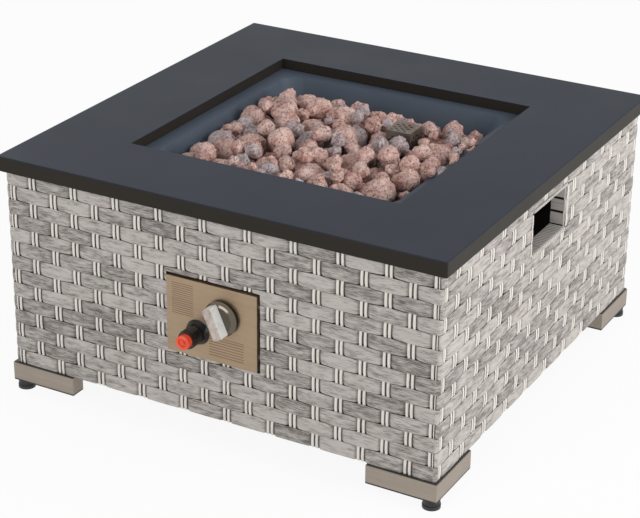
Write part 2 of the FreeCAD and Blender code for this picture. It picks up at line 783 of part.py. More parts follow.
def build_legs():
    """Corner legs with their plates and pads, and the levelling feet."""
    thin = S["leg_sheet"]
    bolt_size = S["bolt_radius"] + S["running_gap"]
    shell = cut(
        soft_leg(),
        extruded(leg_outline(thin), S["leg_height"] - thin, 0, 0, LEG_BOTTOM),
        *[rod(bolt_size, 6, x, y, LEG_TOP - 4) for x, y in leg_bolt_spots()],
    )
    stud_hole = rod(S["stud_radius"] + S["running_gap"], 40, S["foot_inset"], S["foot_inset"], 0)
    edge = extruded(leg_outline(S["seat_gap"]), S["leg_plate"], 0, 0, FLOOR_TO_LEG)
    plug = extruded(leg_outline(thin + S["seat_gap"] / 3), S["leg_plug"], 0, 0, LEG_BOTTOM)
    base = cut(join(edge, plug), stud_hole)
    pad_piece = cut(
        extruded(leg_outline(thin), S["leg_pad"], 0, 0, LEG_TOP),
        *[rod(bolt_size, 6, x, y, LEG_TOP - 2) for x, y in leg_bolt_spots()],
    )
    nut_bottom = LEG_BOTTOM + S["leg_plug"]
    foot_x = S["foot_inset"]
    nut = cut(
        hexagon(S["foot_nut_flats"], S["foot_nut_height"], foot_x, foot_x, nut_bottom),
        rod(S["stud_radius"] + S["running_gap"], 40, foot_x, foot_x, 0),
    )
    bolts = []
    for x, y in leg_bolt_spots():
        head_z = LEG_TOP - thin - 4
        head = hexagon(S["bolt_radius"] * 10 / 3, 4, x, y, head_z)
        bolts.append(join(head, rod(S["bolt_radius"], 4 + thin + S["leg_pad"] + 6, x, y, head_z)))
    stud = rod(S["stud_radius"], S["stud_length"], foot_x, foot_x, S["stud_seat"])
    collar = ribbed(
        S["foot_collar"], S["foot_rib"], S["foot_pad_height"] - S["foot_base"], 0, 0, S["foot_base"],
    )
    foot = join(rod(S["foot_radius"], S["foot_base"], 0, 0, 0), collar)
    socket = rod(S["stud_radius"] + S["running_gap"], 20, 0, 0, S["stud_seat"] - S["running_gap"])
    foot = place(cut(foot, socket), foot_x, foot_x, 0)
    shared = {
        "corner_legs": shell,
        "leg_base_plates": base,
        "leg_pads": pad_piece,
        "foot_nuts": nut,
        "leg_bolts": group(*bolts),
    }
    own = {"foot_stud": stud, "foot_pad": foot}
    for name, source in own.items():
        for corner in CORNERS:
            keep(f"{name}_{corner}", at_corner(source, corner))
    for name, source in shared.items():
        keep(name, group(*[at_corner(source, corner) for corner in CORNERS]))


def soft_leg():
    """A leg's outer form with its upright corners eased."""
    body = extruded(leg_outline(0), S["leg_height"], 0, 0, LEG_BOTTOM)
    upright = lambda edge: abs(edge.Vertexes[0].Z - edge.Vertexes[-1].Z) > 1
    return soften(body, S["leg_sheet"] / 2, upright)


def at_corner(source, corner):
    """A copy of a piece drawn for the front left corner, turned to another one."""
    sign_x, sign_y, angle = CORNERS[corner]
    item = group(source)
    return place(item, SKIRT * sign_x, SKIRT * sign_y, 0, Rotation(Vector(0, 0, 1), angle))


def panel_screw_holes():
    """Holes in the panel's folded sides and in the uprights beside them."""
    size = S["screw_radius"] + S["running_gap"]
    y = PANEL_FACE + S["panel_fold"] - 4
    holes = []
    for z in (PANEL_BOTTOM + 20, PANEL_TOP - 20):
        holes.append(rod(size, 20, PANEL_LEFT + 4, y, z, "-x"))
        holes.append(rod(size, 20, PANEL_RIGHT - 4, y, z, "+x"))
    return holes


def build_panel():
    """The control panel: a shallow folded tray fixed to the uprights through its sides."""
    turn = TURNS["+y"]
    fold = S["panel_fold"]
    thin = S["panel_sheet"]
    middle = S["panel_middle"]
    outer = plate(S["panel_width"], S["panel_height"], S["panel_corner"], fold, 0, PANEL_FACE, middle, turn)
    inner = block(
        PANEL_LEFT + thin, PANEL_RIGHT - thin, PANEL_BACK, PANEL_FACE + fold + 1,
        PANEL_BOTTOM + thin, PANEL_TOP - thin,
    )
    stem_hole = rod(S["stem_radius"] * 2, 6, S["knob_x"], PANEL_FACE - 1, KNOB_Z, "+y")
    shank = S["igniter_shank"] + S["seat_gap"] / 2
    igniter_hole = rod(shank, 6, S["igniter_x"], PANEL_FACE - 1, IGNITER_Z, "+y")
    tray = cut(outer, inner, stem_hole, igniter_hole, *valve_screw_holes(), group(*panel_screw_holes()))
    keep("control_panel", tray)
    screws = []
    y = PANEL_FACE + fold - 4
    gap = S["panel_gap"]
    for z in (PANEL_BOTTOM + 20, PANEL_TOP - 20):
        for side, way in ((-1, "-x"), (1, "+x")):
            start = (S["panel_width"] / 2 - thin - 3) * side
            head = rod(S["screw_radius"] * 1.9, 3, start, y, z, way)
            screws.append(join(head, rod(S["screw_radius"], 3 + thin + gap + 5, start, y, z, way)))
    keep("panel_screws", group(*screws))
    spacers = []
    for z in (PANEL_BOTTOM + 20, PANEL_TOP - 20):
        for side, way in ((-1, "-x"), (1, "+x")):
            start = S["panel_width"] / 2 * side
            size = S["screw_radius"]
            spacers.append(tube(size * 1.9, size + S["running_gap"], gap, start, y, z, way))
    keep("panel_spacers", group(*spacers))


def valve_screw_holes():
    """Holes for the two screws that hold the valve to the panel."""
    size = S["valve_screw"] + S["running_gap"]
    place_x = S["valve_screw_place"]
    return [
        rod(size, 12, S["knob_x"] + place_x * side, PANEL_FACE - 2, KNOB_Z, "+y")
        for side in (-1, 1)
    ]


def build_valve():
    """The gas valve behind the panel, its plug, stem and spring, and the inlet below it."""
    x, z = S["knob_x"], KNOB_Z
    ear = S["valve_ear"]
    half_w = S["valve_width"] / 2
    half_h = S["valve_height"] / 2
    ear_half = S["valve_screw_place"] + 4
    ears = block(x - ear_half, x + ear_half, PANEL_BACK, PANEL_BACK + ear, z - 8, z + 8)
    back = PANEL_BACK + S["valve_depth"]
    body = block(x - half_w, x + half_w, PANEL_BACK + ear, back, z - half_h, z + half_h)
    plug_start = PANEL_BACK + S["plug_back"]
    gap = S["running_gap"]
    plug_room = rod(S["plug_radius"] + gap, S["plug_length"] + gap * 4, x, plug_start - gap * 2, z, "+y")
    stem_room = rod(S["stem_radius"] + gap, 20, x, PANEL_BACK - 1, z, "+y")
    outlet_bore = rod(S["hose_bore"], 40, x, plug_start + S["plug_length"] - 2, z, "+y")
    inlet_y = PANEL_BACK + S["inlet_back"]
    inlet_bore = rod(S["hose_bore"], half_h - 3, x, inlet_y, z - half_h - 2)
    channel = rod(S["hose_bore"] - 1, 13, x, inlet_y, z - S["plug_radius"] - 2, "-y")
    bores = (plug_room, stem_room, outlet_bore, inlet_bore, channel)
    housing = cut(join(ears, body), *bores, *valve_screw_holes())
    keep("valve_body", housing)
    bore = S["stem_radius"] + gap
    socket = flatted(bore, S["stem_flat"] + gap, S["stem_in_plug"] + gap * 2, x, plug_start - gap, z)
    spring_room = rod(bore, S["plug_bore"] - S["stem_in_plug"], x, plug_start + S["stem_in_plug"], z, "+y")
    port = rod(S["hose_bore"] - 1, S["plug_radius"] * 3, x, plug_start + S["plug_length"] - 4, z - S["plug_radius"] * 1.5)
    barrel = rod(S["plug_radius"], S["plug_length"], x, plug_start, z, "+y")
    plug = cut(barrel, socket, spring_room, port)
    keep("valve_plug", plug)
    rim = PANEL_FACE - S["knob_gap"]
    dome = rim - S["knob_dome"]
    stem_end = plug_start + S["stem_in_plug"]
    stem_tip = dome - S["stem_in_knob"]
    keep("valve_stem", flatted(S["stem_radius"], S["stem_flat"], stem_end - stem_tip, x, stem_tip, z))
    spring_start = stem_end + gap * 2
    spring_end = plug_start + S["plug_bore"] - gap * 4
    spring = tube(S["stem_radius"] * 0.7, S["stem_radius"] * 0.45, spring_end - spring_start, x, spring_start, z, "+y")
    keep("stem_spring", spring)
    screws = []
    for side in (-1, 1):
        screw_x = x + S["valve_screw_place"] * side
        head_y = PANEL_FACE - 2.2
        head = rod(S["valve_screw"] * 1.8, 2.2, screw_x, head_y, z, "+y")
        length = 2.2 + S["panel_sheet"] + ear + 3
        screws.append(join(head, rod(S["valve_screw"], length, screw_x, head_y, z, "+y")))
    keep("valve_screws", group(*screws))
    under = z - half_h
    hex_end = under - S["inlet_hex"]
    thread = rod(S["inlet_radius"], S["inlet_thread"], x, inlet_y, hex_end, "-z")
    inlet = join(hexagon(S["inlet_flats"], S["inlet_hex"], x, inlet_y, under, "-z"), thread)
    keep("gas_inlet", cut(inlet, rod(S["hose_bore"], 40, x, inlet_y, under + 1, "-z")))


def flatted(radius, flat, length, x, y, z):
    """A round bar along Y with a flat on it, turned with the knob."""
    bar = rod(radius, length, x, y, z, "+y")
    turn = Rotation(Vector(0, -1, 0), float(S["knob_tilt"]))
    shave = doc.addObject("Part::Box", "flat")
    bind(shave, "Length", radius * 2)
    bind(shave, "Width", length + 2)
    bind(shave, "Height", radius)
    corner = turn.multVec(Vector(-float(radius), 0, float(radius - flat)))
    place(shave, x + corner.x, y - 1, z + corner.z, turn)
    return cut(bar, shave)


def build_knob():
    """The knob's polished skirt and its bar grip."""
    x, z = S["knob_x"], KNOB_Z
    rim = PANEL_FACE - S["knob_gap"]
    high = S["knob_dome"]
    wall = S["knob_wall"]
    r = S["knob_radius"]
    gap = S["running_gap"]
    profile = [
        (0, 0), (S["knob_boss"], 0), (S["knob_boss"], high - wall * 2), (r - wall * 3, high - wall * 2),
        (r - wall, wall), (r - wall, 0), (r, 0), (r, wall), (r - wall * 2, high - wall),
        (r - wall * 4, high), (0, high),
    ]
    tilt = float(S["knob_tilt"])
    skirt = turned(profile, x, rim, z, "-y")
    bore = flatted(S["stem_radius"] + gap, S["stem_flat"] + gap, high + 2, x, rim - high - 1, z)
    keep("knob_skirt", cut(skirt, bore))
    turn = Rotation(Vector(0, -1, 0), tilt) * TURNS["-y"]
    grip = plate(S["grip_width"], S["grip_length"], S["grip_corner"], S["grip_depth"], x, rim - high, z, turn)
    front = float(S["grip_depth"])
    front_edges = lambda edge: min(v.Z for v in edge.Vertexes) > front - 0.01
    soften(grip, S["grip_corner"] / 2, front_edges)
    socket_depth = S["stem_in_knob"] + gap * 2
    socket = flatted(S["stem_radius"] + gap, S["stem_flat"] + gap, socket_depth + 1, x, rim - high - socket_depth, z)
    keep("knob_grip", cut(grip, socket))


def build_igniter():
    """The igniter: barrel, button, spring, cell, nut and pulse module."""
    x, z = S["igniter_x"], IGNITER_Z
    reach = S["igniter_reach"]
    gap = S["running_gap"]
    face = PANEL_FACE
    tip = face - reach
    base = cone(S["igniter_base"], S["igniter_base"] - 3, S["igniter_flange"], x, face, z, "-y")
    barrel = ribbed(S["igniter_barrel"], S["igniter_rib"], reach - S["igniter_flange"] - 3, x, face - S["igniter_flange"], z, "-y")
    lip = rod(S["igniter_barrel"] - 1, 3.0, x, tip + 3, z, "-y")
    shank = rod(S["igniter_shank"], S["igniter_length"], x, face, z, "+y")
    room_length = S["button_inside"] + S["button_push"] + 1
    room = rod(S["button_radius"] + gap * 2, room_length + 1, x, tip - 1, z, "+y")
    cell_gap = S["battery_radius"] + S["seat_gap"]
    spring_room = S["button_push"] + 5
    cell_room = rod(cell_gap, spring_room + S["battery_length"] + gap * 4, x, tip + room_length - 1, z, "+y")
    keep("igniter_body", cut(join(base, barrel, lip, shank), room, cell_room))
    button_back = tip + S["button_inside"]
    length = S["button_inside"] + S["button_reach"]
    button = rod(S["button_radius"], length, x, button_back, z, "-y")
    dish = rod(S["button_dish"], S["button_dish_depth"] + 1, x, tip - S["button_reach"] - 1, z, "+y")
    crown = cut(button, dish)
    stud = rod(S["button_dish"] / 3, S["button_dish_depth"], x, tip - S["button_reach"] + S["button_dish_depth"], z, "-y")
    keep("igniter_button", join(crown, stud))
    cell_start = tip + room_length + spring_room - 1
    spring = tube(
        S["battery_radius"] - 0.7, S["battery_radius"] - 1.5, cell_start - button_back - gap * 4,
        x, button_back + gap * 2, z, "+y",
    )
    keep("igniter_spring", spring)
    cell = rod(S["battery_radius"], S["battery_length"] - 1.2, x, cell_start + 1.2, z, "+y")
    cap = rod(S["battery_radius"] / 3, 1.2, x, cell_start, z, "+y")
    keep("igniter_battery", join(cell, cap))
    nut = tube(S["igniter_nut"], S["igniter_shank"] + gap, S["igniter_nut_height"], x, PANEL_BACK, z, "+y")
    keep("igniter_nut", nut)
    module_start = face + S["igniter_length"]
    blade = block(x - 3.2, x + 3.2, module_start + S["module_length"], module_start + S["module_length"] + 8, z + 4, z + 4.8)
    module = rod(S["igniter_shank"], S["module_length"], x, module_start, z, "+y")
    keep("igniter_module", join(module, blade))


def build_burner():
    """Ring burner, lock nut, air mixer and jet elbow, one under the other."""
    ring_z = PAN_FLOOR + S["ring_lift"]
    wall = S["burner_wall"]
    outer = burner_tubes(S["ring_tube"], S["hub_radius"], S["hub_height"], S["feed_radius"], 0)
    inner = burner_tubes(
        S["ring_tube"] - wall, S["hub_radius"] - wall, S["hub_height"] - wall, S["feed_radius"] - wall * 2, 1,
    )
    ports = []
    for index in range(PORT_COUNT):
        angle = 2 * math.pi * (index + 0.5) / PORT_COUNT
        x = S["ring_radius"] * math.cos(angle)
        y = S["ring_radius"] * math.sin(angle)
        ports.append(rod(S["port_radius"], S["ring_tube"] + 2, x, y, ring_z))
    keep("burner_ring", cut(outer, inner, group(*ports)))
    gap = S["running_gap"]
    nut_z = PAN_UNDER - S["burner_nut_height"]
    nut = hexagon(S["burner_nut_flats"], S["burner_nut_height"], 0, 0, nut_z)
    keep("burner_nut", cut(nut, rod(S["feed_radius"] + gap, 30, 0, 0, nut_z - 5)))
    mixer_top = nut_z - 1
    mixer_bottom = mixer_top - S["mixer_length"]
    feed_end = PAN_FLOOR - S["feed_length"]
    window_low = mixer_bottom + 6
    windows = [
        block(-30, 30, -4, 4, window_low, window_low + S["mixer_window"]),
        block(-4, 4, -30, 30, window_low, window_low + S["mixer_window"]),
    ]
    barrel = rod(S["mixer_radius"], S["mixer_length"], 0, 0, mixer_bottom)
    thread = rod(S["feed_radius"] + gap, mixer_top - feed_end + 1 + gap, 0, 0, feed_end - gap)
    throat = rod(S["mixer_throat"], S["mixer_length"], 0, 0, mixer_bottom + 4)
    chamber = rod(S["mixer_radius"] - 2, S["mixer_window"] + 2, 0, 0, window_low - 1)
    jet_hole = rod(S["jet_radius"] + gap, 20, 0, 0, mixer_bottom - 5)
    keep("air_mixer", cut(barrel, thread, throat, chamber, jet_hole, *windows))
    side = S["elbow_side"]
    elbow = block(-side / 2, side / 2, -side / 2, side / 2, mixer_bottom - side, mixer_bottom)
    jet = rod(S["jet_radius"], S["jet_height"], 0, 0, mixer_bottom)
    bore = rod(S["jet_radius"] / 2, side, 0, 0, mixer_bottom - side / 2)
    hose_z = mixer_bottom - side / 2
    side_bore = rod(S["hose_bore"], side / 2 + 1, 0, 0, hose_z, "-y")
    keep("jet_elbow", cut(join(elbow, jet), bore, side_bore))
    build_hose(hose_z, side)


def burner_tubes(ring, hub, hub_high, feed, extra):
    """The ring, its two cross tubes, the hub and the feed pipe as one form."""
    ring_z = PAN_FLOOR + S["ring_lift"]
    torus = doc.addObject("Part::Torus", "ring")
    bind(torus, "Radius1", S["ring_radius"])
    bind(torus, "Radius2", ring)
    place(torus, 0, 0, ring_z)
    arm = S["ring_radius"]
    arm_x = rod(ring - 1, arm * 2, -arm, 0, ring_z, "+x")
    arm_y = rod(ring - 1, arm * 2, 0, -arm, ring_z, "+y")
    low = S["burner_wall"] * extra
    hub_solid = rod(hub, hub_high - low, 0, 0, PAN_FLOOR + low)
    pipe = rod(feed, S["feed_length"] + low + extra, 0, 0, PAN_FLOOR + low, "-z")
    return join(torus, arm_x, arm_y, hub_solid, pipe)


def build_hose(hose_z, side):
    """The hose from the valve's back to the jet elbow, with its two nuts."""
    x, z = S["knob_x"], KNOB_Z
    valve_back = PANEL_BACK + S["valve_depth"]
    long = S["outlet_length"]
    front_nut = hexagon(S["outlet_flats"], long, x, valve_back, z, "+y")
    bore = rod(S["hose_bore"], long * 2, x, valve_back - 1, z, "+y")
    back_nut = hexagon(S["outlet_flats"], long, 0, -side / 2, hose_z, "-y")
    back_bore = rod(S["hose_bore"], long * 2, 0, -side / 2 + 1, hose_z, "-y")
    keep("hose_nuts", group(cut(front_nut, bore), cut(back_nut, back_bore)))
    start = Vector(float(x), float(valve_back + long), float(z))
    end = Vector(0, float(-side / 2 - long), float(hose_z))
    span = end - start
    sag = (0, 0, -30, -52, -38, 0, 0)
    drift = (0, 0, 6, 16, 12, 0, 0)
    along = (0, 0.17, 0.33, 0.5, 0.68, 0.84, 1)
    points = []
    for share, down, aside in zip(along, sag, drift):
        rise = span.z * share
        if share <= along[1]:
            rise = 0
        if share >= along[-2]:
            rise = span.z
        across = span.x * min(max((share - along[1]) / (along[-2] - along[1]), 0), 1)
        points.append(start + Vector(across + aside, span.y * share, rise + down))
    outer = swept(points, S["hose_radius"], "burner_hose")
    bore_wire = swept(points, S["hose_bore"], "burner_hose bore")
    keep("burner_hose", shaped(outer.cut(bore_wire)))


def build_pilot():
    """The guard over the electrode and the thermocouple, and their leads."""
    x, y = S["guard_x"], S["guard_y"]
    half = S["guard_side"] / 2
    thin = S["guard_sheet"]
    top = PAN_FLOOR + S["guard_height"]
    outer = block(x - half, x + half, y - half, y + half, PAN_FLOOR, top)
    inner = block(x - half + thin, x + half - thin, y - half + thin, y + half - thin, PAN_FLOOR - 1, top - thin)
    keep("pilot_guard", shaped_guard(cut(outer, inner)))
    base_gap = thin + S["seat_gap"]
    bracket = block(x - half + base_gap, x + half - base_gap, y - 9, y + 9, PAN_FLOOR, PAN_FLOOR + 1.5)
    upright = block(x - half + base_gap, x + half - base_gap, y - 9, y - 7.5, PAN_FLOOR, PAN_FLOOR + 30)
    shelf = block(x - half + base_gap, x + half - base_gap, y - 9, y + 9, PAN_FLOOR + 28.5, PAN_FLOOR + 30)
    gap = S["running_gap"]
    spark_x = x - S["guard_side"] / 5
    couple_x = x + S["guard_side"] / 5
    holes = [
        rod(S["electrode_radius"] + gap, 60, spark_x, y, PAN_FLOOR - 5),
        rod(S["couple_radius"] + gap, 60, couple_x, y, PAN_FLOOR - 5),
    ]
    keep("pilot_bracket", cut(join(bracket, upright, shelf), *holes))
    ceramic_z = PAN_FLOOR + 6
    high = S["electrode_height"]
    collar = rod(S["electrode_radius"] + 1.2, 2, spark_x, y, PAN_FLOOR + 30)
    keep("electrode_ceramic", cut(join(rod(S["electrode_radius"], high, spark_x, y, ceramic_z), collar),
                                  rod(S["spark_radius"] + gap, 80, spark_x, y, ceramic_z - 2)))
    wire = rod(S["spark_radius"], high + 12, spark_x, y, ceramic_z - 1)
    tip = rod(S["spark_radius"], 5, spark_x, y, ceramic_z + high + 10, "+x")
    keep("electrode_wire", join(wire, tip))
    probe = rod(S["couple_radius"], high, couple_x, y, ceramic_z + 4)
    probe_collar = rod(S["couple_radius"] + 1.2, 2, couple_x, y, PAN_FLOOR + 30)
    keep("thermocouple", join(probe, probe_collar))


def shaped_guard(source):
    """The guard's box with rows of diamond gaps through its five faces."""
    doc.recompute()
    x, y = float(S["guard_x"]), float(S["guard_y"])
    side = float(S["guard_side"])
    top = float(PAN_FLOOR + S["guard_height"])
    long, short = float(S["guard_gap_long"]), float(S["guard_gap_short"])
    strand = 1.4
    step_u = long + strand * 2
    step_v = (short + strand) / 1.0
    reach = side / 2 - 3
    gaps = []

    def diamonds(limit_v):
        row = 0
        v = -limit_v + short / 2
        while v <= limit_v - short / 2 + 1e-6:
            u = -reach + long / 2 + (step_u / 2 if row % 2 else 0)
            while u <= reach - long / 2 + 1e-6:
                yield u, v
                u += step_u
            v += step_v
            row += 1

    def prism(corners, way):
        return Part.Face(Part.makePolygon(corners + corners[:1])).extrude(way)

    for u, v in diamonds(reach):
        corners = [Vector(x + u + a, y + v + b, top - 3) for a, b in diamond_corners(long, short)]
        gaps.append(prism(corners, Vector(0, 0, 6)))
    depth = 24
    for u, v in diamonds(depth / 2):
        z = top - 4 - depth / 2 + v
        corners = [Vector(x + u + a, y - side, z + b) for a, b in diamond_corners(long, short)]
        gaps.append(prism(corners, Vector(0, side * 2, 0)))
        corners = [Vector(x - side, y + u + a, z + b) for a, b in diamond_corners(long, short)]
        gaps.append(prism(corners, Vector(side * 2, 0, 0)))
    return shaped(source.Shape.cut(Part.makeCompound(gaps)))


def diamond_corners(long, short):
    """A diamond's four corners round its middle."""
    return [(-long / 2, 0), (0, -short / 2), (long / 2, 0), (0, short / 2)]


def build_leads():
    """The thermocouple's lead to the valve and the igniter's lead to the electrode."""
    under = float(PAN_UNDER)
    x, y = float(S["guard_x"]), float(S["guard_y"])
    spark_x = x - float(S["guard_side"]) / 5
    couple_x = x + float(S["guard_side"]) / 5
    valve_side = float(S["knob_x"] + S["valve_width"] / 2)
    valve_y = float(PANEL_BACK + S["valve_depth"]) - 12
    valve_z = float(KNOB_Z)
    start_z = float(PAN_FLOOR) + 10
    couple = [
        Vector(couple_x, y, start_z),
        Vector(couple_x, y, under - 30),
        Vector(couple_x + 4, y - 46, under - 58),
        Vector(couple_x - 2, y - 110, under - 70),
        Vector(couple_x - 10, y - 180, under - 80),
        Vector(couple_x - 14, y - 250, valve_z + 5),
        Vector(valve_side + 40, valve_y, valve_z),
        Vector(valve_side, valve_y, valve_z),
    ]
    keep("thermocouple_lead", shaped(swept(couple, S["lead_radius"], "thermocouple_lead")))
    blade_y = float(PANEL_FACE + S["igniter_length"] + S["module_length"]) + 8
    blade_x = float(S["igniter_x"])
    blade_z = float(IGNITER_Z) + 4.4
    spark = [
        Vector(spark_x, y, float(PAN_FLOOR) + 5),
        Vector(spark_x, y, under - 28),
        Vector(spark_x - 5, y - 52, under - 56),
        Vector(spark_x - 26, y - 122, under - 68),
        Vector(spark_x - 60, y - 184, under - 80),
        Vector(spark_x - 98, y - 240, under - 98),
        Vector(blade_x, blade_y + 30, blade_z),
        Vector(blade_x, blade_y, blade_z),
    ]
    keep("ignition_lead", shaped(swept(spark, S["lead_radius"], "ignition_lead")))


class Heap:
    """Rocks dropped one by one into the pan, each as a few balls in a row."""

    def __init__(self):
        self.dice = random.Random(ROCK_SEED)
        self.balls = []
        self.rocks = []
        self.floor = float(PAN_FLOOR)
        self.flange = float(FLANGE_TOP)
        self.ledge = float(LEDGE)
        self.lean = float(S["pan_slope"]) / float(S["pan_depth"])
        self.slant = math.hypot(1, self.lean)
        self.opening = float(OPENING)
        self.corner = float(LEDGE - S["pan_slope"] * 0.75 - S["pan_corner"])
        self.ring = float(S["ring_radius"])
        self.ring_tube = float(S["ring_tube"])
        self.ring_z = self.floor + float(S["ring_lift"])
        self.guard = (float(S["guard_x"]), float(S["guard_y"]), float(S["guard_side"]) / 2)
        self.hub_top = self.floor + float(S["hub_height"])
        self.hub = float(S["hub_radius"])

    def ceiling(self, x, y):
        """The heap's outline: full at the front and the right, falling to the left and the back."""
        rise = float(S["heap_rise"])
        past = max(HEAP_LEFT - x, 0) + max(y - HEAP_BACK, 0)
        dome = rise * (1 - (x * x + y * y) / HEAP_SPREAD ** 2)
        return self.flange + dome - HEAP_FALL * past

    def walls(self, x, y, r):
        """The lowest height that the pan lets a ball's middle take, or None where it can't go."""
        level = self.floor + r
        for reach in (abs(x), abs(y)):
            if reach > self.opening - r - 0.5:
                return None
            low = self.flange - (self.ledge - reach) / self.lean + r * self.slant / self.lean
            if low - r * self.lean / self.slant > self.flange:
                gap = self.ledge - reach
                low = self.flange + (math.sqrt(max(r * r - gap * gap, 0)) if gap > 0 else r)
            level = max(level, low)
        away_x = abs(x) - self.corner
        away_y = abs(y) - self.corner
        if away_x > 0 and away_y > 0:
            reach = self.corner + math.hypot(away_x, away_y)
            low = self.flange - (self.ledge - reach) / self.lean + r * self.slant / self.lean
            level = max(level, min(low, self.flange + r))
        return level

    def fittings(self, x, y, r):
        """The same for the burner, or None over the pilot guard."""
        guard_x, guard_y, half = self.guard
        away = math.hypot(max(abs(x - guard_x) - half, 0), max(abs(y - guard_y) - half, 0))
        if away < r + 0.6:
            return None
        level = self.floor
        span = math.hypot(x, y)
        for gap in (abs(span - self.ring), max(abs(x) - self.ring, 0) + abs(y), max(abs(y) - self.ring, 0) + abs(x)):
            reach = r + self.ring_tube + 0.4
            if gap < reach:
                level = max(level, self.ring_z + math.sqrt(reach * reach - gap * gap))
        if span < self.hub + r:
            level = max(level, self.hub_top + r + 0.4)
        return level

    def height(self, x, y, balls, near):
        """How high a rock's first ball must be when the rock is let down at one place."""
        best = -1e9
        for dx, dy, dz, r in balls:
            ball_x, ball_y = x + dx, y + dy
            low = self.walls(ball_x, ball_y, r)
            if low is None:
                return None
            over = self.fittings(ball_x, ball_y, r)
            if over is None:
                return None
            low = max(low, over)
            for other_x, other_y, other_z, other_r in near:
                reach = r + other_r
                flat = (ball_x - other_x) ** 2 + (ball_y - other_y) ** 2
                if flat < reach * reach:
                    low = max(low, other_z + math.sqrt(reach * reach - flat))
            best = max(best, low - dz)
        return best

    def start(self, size, rim):
        """Where a rock starts: anywhere over the pan, or over the flange at the front or right."""
        dice = self.dice
        span = self.opening - size - 1
        x, y = dice.uniform(-span, span), dice.uniform(-span, span)
        if not rim:
            return x, y
        band = dice.uniform(self.ledge + size / 2, span)
        if dice.random() < 0.5:
            return max(x, HEAP_LEFT), -band
        return band, min(y, HEAP_BACK)

    def settle(self, balls, size, rim):
        """The lowest resting place near a start."""
        x, y = self.start(size, rim)
        roam = RIM_ROAM if rim else ROAM
        near = [b for b in self.balls if abs(b[0] - x) < size * 2 + 45 and abs(b[1] - y) < size * 2 + 45]
        here = self.height(x, y, balls, near)
        if here is None:
            return None
        start_x, start_y = x, y
        step = 9.0
        while step > 0.2:
            moved = False
            for angle in range(6):
                turn = angle * math.pi / 3 + step
                next_x, next_y = x + step * math.cos(turn), y + step * math.sin(turn)
                if abs(next_x - start_x) > roam or abs(next_y - start_y) > roam:
                    continue
                level = self.height(next_x, next_y, balls, near)
                if level is not None and level < here - 0.02:
                    x, y, here, moved = next_x, next_y, level, True
                    break
            if not moved:
                step /= 2
        return x, y, here

    def drop(self, small, large, tries, rim):
        """Let one rock down at the lowest of a few places, if the heap has room for it."""
        dice = self.dice
        r = small + (large - small) * dice.random() ** 1.3
        stretch = dice.uniform(0.25, 0.8) * r
        heading = dice.uniform(0, 2 * math.pi)
        climb = dice.uniform(-0.5, 0.5)
        way = Vector(math.cos(heading) * math.cos(climb), math.sin(heading) * math.cos(climb), math.sin(climb))
        end = r * dice.uniform(0.72, 0.95)
        balls = []
        for share in (0, 0.5, 1):
            middle = way * (stretch * share)
            balls.append((middle.x, middle.y, middle.z, r + (end - r) * share))
        best = None
        for _ in range(tries):
            spot = self.settle(balls, r, rim)
            if spot and (best is None or spot[2] < best[2]):
                best = spot
        if best is None:
            return False
        x, y, z = best
        top = max(z + dz + size for _, _, dz, size in balls)
        if top > self.ceiling(x, y) + ROCK_PROUD:
            return False
        solid = [(x + dx, y + dy, z + dz, size) for dx, dy, dz, size in balls]
        self.balls += solid
        self.rocks.append(solid)
        return True

    def fill(self):
        """Drop large rocks, then chips, then a few stones on the flange, until they find no room."""
        chip, small, large = (float(S[name]) for name in ("rock_chip", "rock_small", "rock_large"))
        rounds = ((small, large, 4, False, 150), (chip, small, 2, False, 195), (chip, small, 1, True, 225))
        for least, most, tries, rim, limit in rounds:
            misses = 0
            while misses < ROCK_MISSES and len(self.rocks) < limit:
                misses = 0 if self.drop(least, most, tries, rim) else misses + 1

    def touch_points(self, index):
        """Where a rock touches its neighbours, the pan or the burner, on its own skin."""
        points = []
        for x, y, z, r in self.rocks[index]:
            middle = Vector(x, y, z)
            for other, balls in enumerate(self.rocks):
                if other == index:
                    continue
                for other_x, other_y, other_z, other_r in balls:
                    apart = Vector(other_x - x, other_y - y, other_z - z)
                    if apart.Length < r + other_r + 0.3:
                        points.append(middle + apart * ((r - 0.1) / apart.Length))
            on_flange = max(abs(x), abs(y)) > self.ledge and z - r < self.flange + 0.3
            if z - r < self.floor + 0.3 or on_flange:
                points.append(middle + Vector(0, 0, -(r - 0.1)))
            for axis, value in ((0, x), (1, y)):
                face = Vector(0, 0, -self.lean / self.slant)
                face[axis] = math.copysign(1 / self.slant, value)
                gap = (self.ledge - abs(value) - (self.flange - z) * self.lean) / self.slant - r
                if abs(gap) < 0.4 and z < self.flange:
                    points.append(middle + face * (r - 0.1))
                edge = Vector(x, y, self.flange)
                edge[axis] = math.copysign(self.ledge, value)
                apart = edge - middle
                if z > self.flange and apart.Length < r + 0.3:
                    points.append(middle + apart * ((r - 0.1) / apart.Length))
        return points


def rock_solid(points):
    """The convex solid round some points."""
    faces = hull_faces(points)
    shells = [Part.Face(Part.makePolygon([points[i] for i in face] + [points[face[0]]])) for face in faces]
    return Part.Solid(Part.Shell(shells))


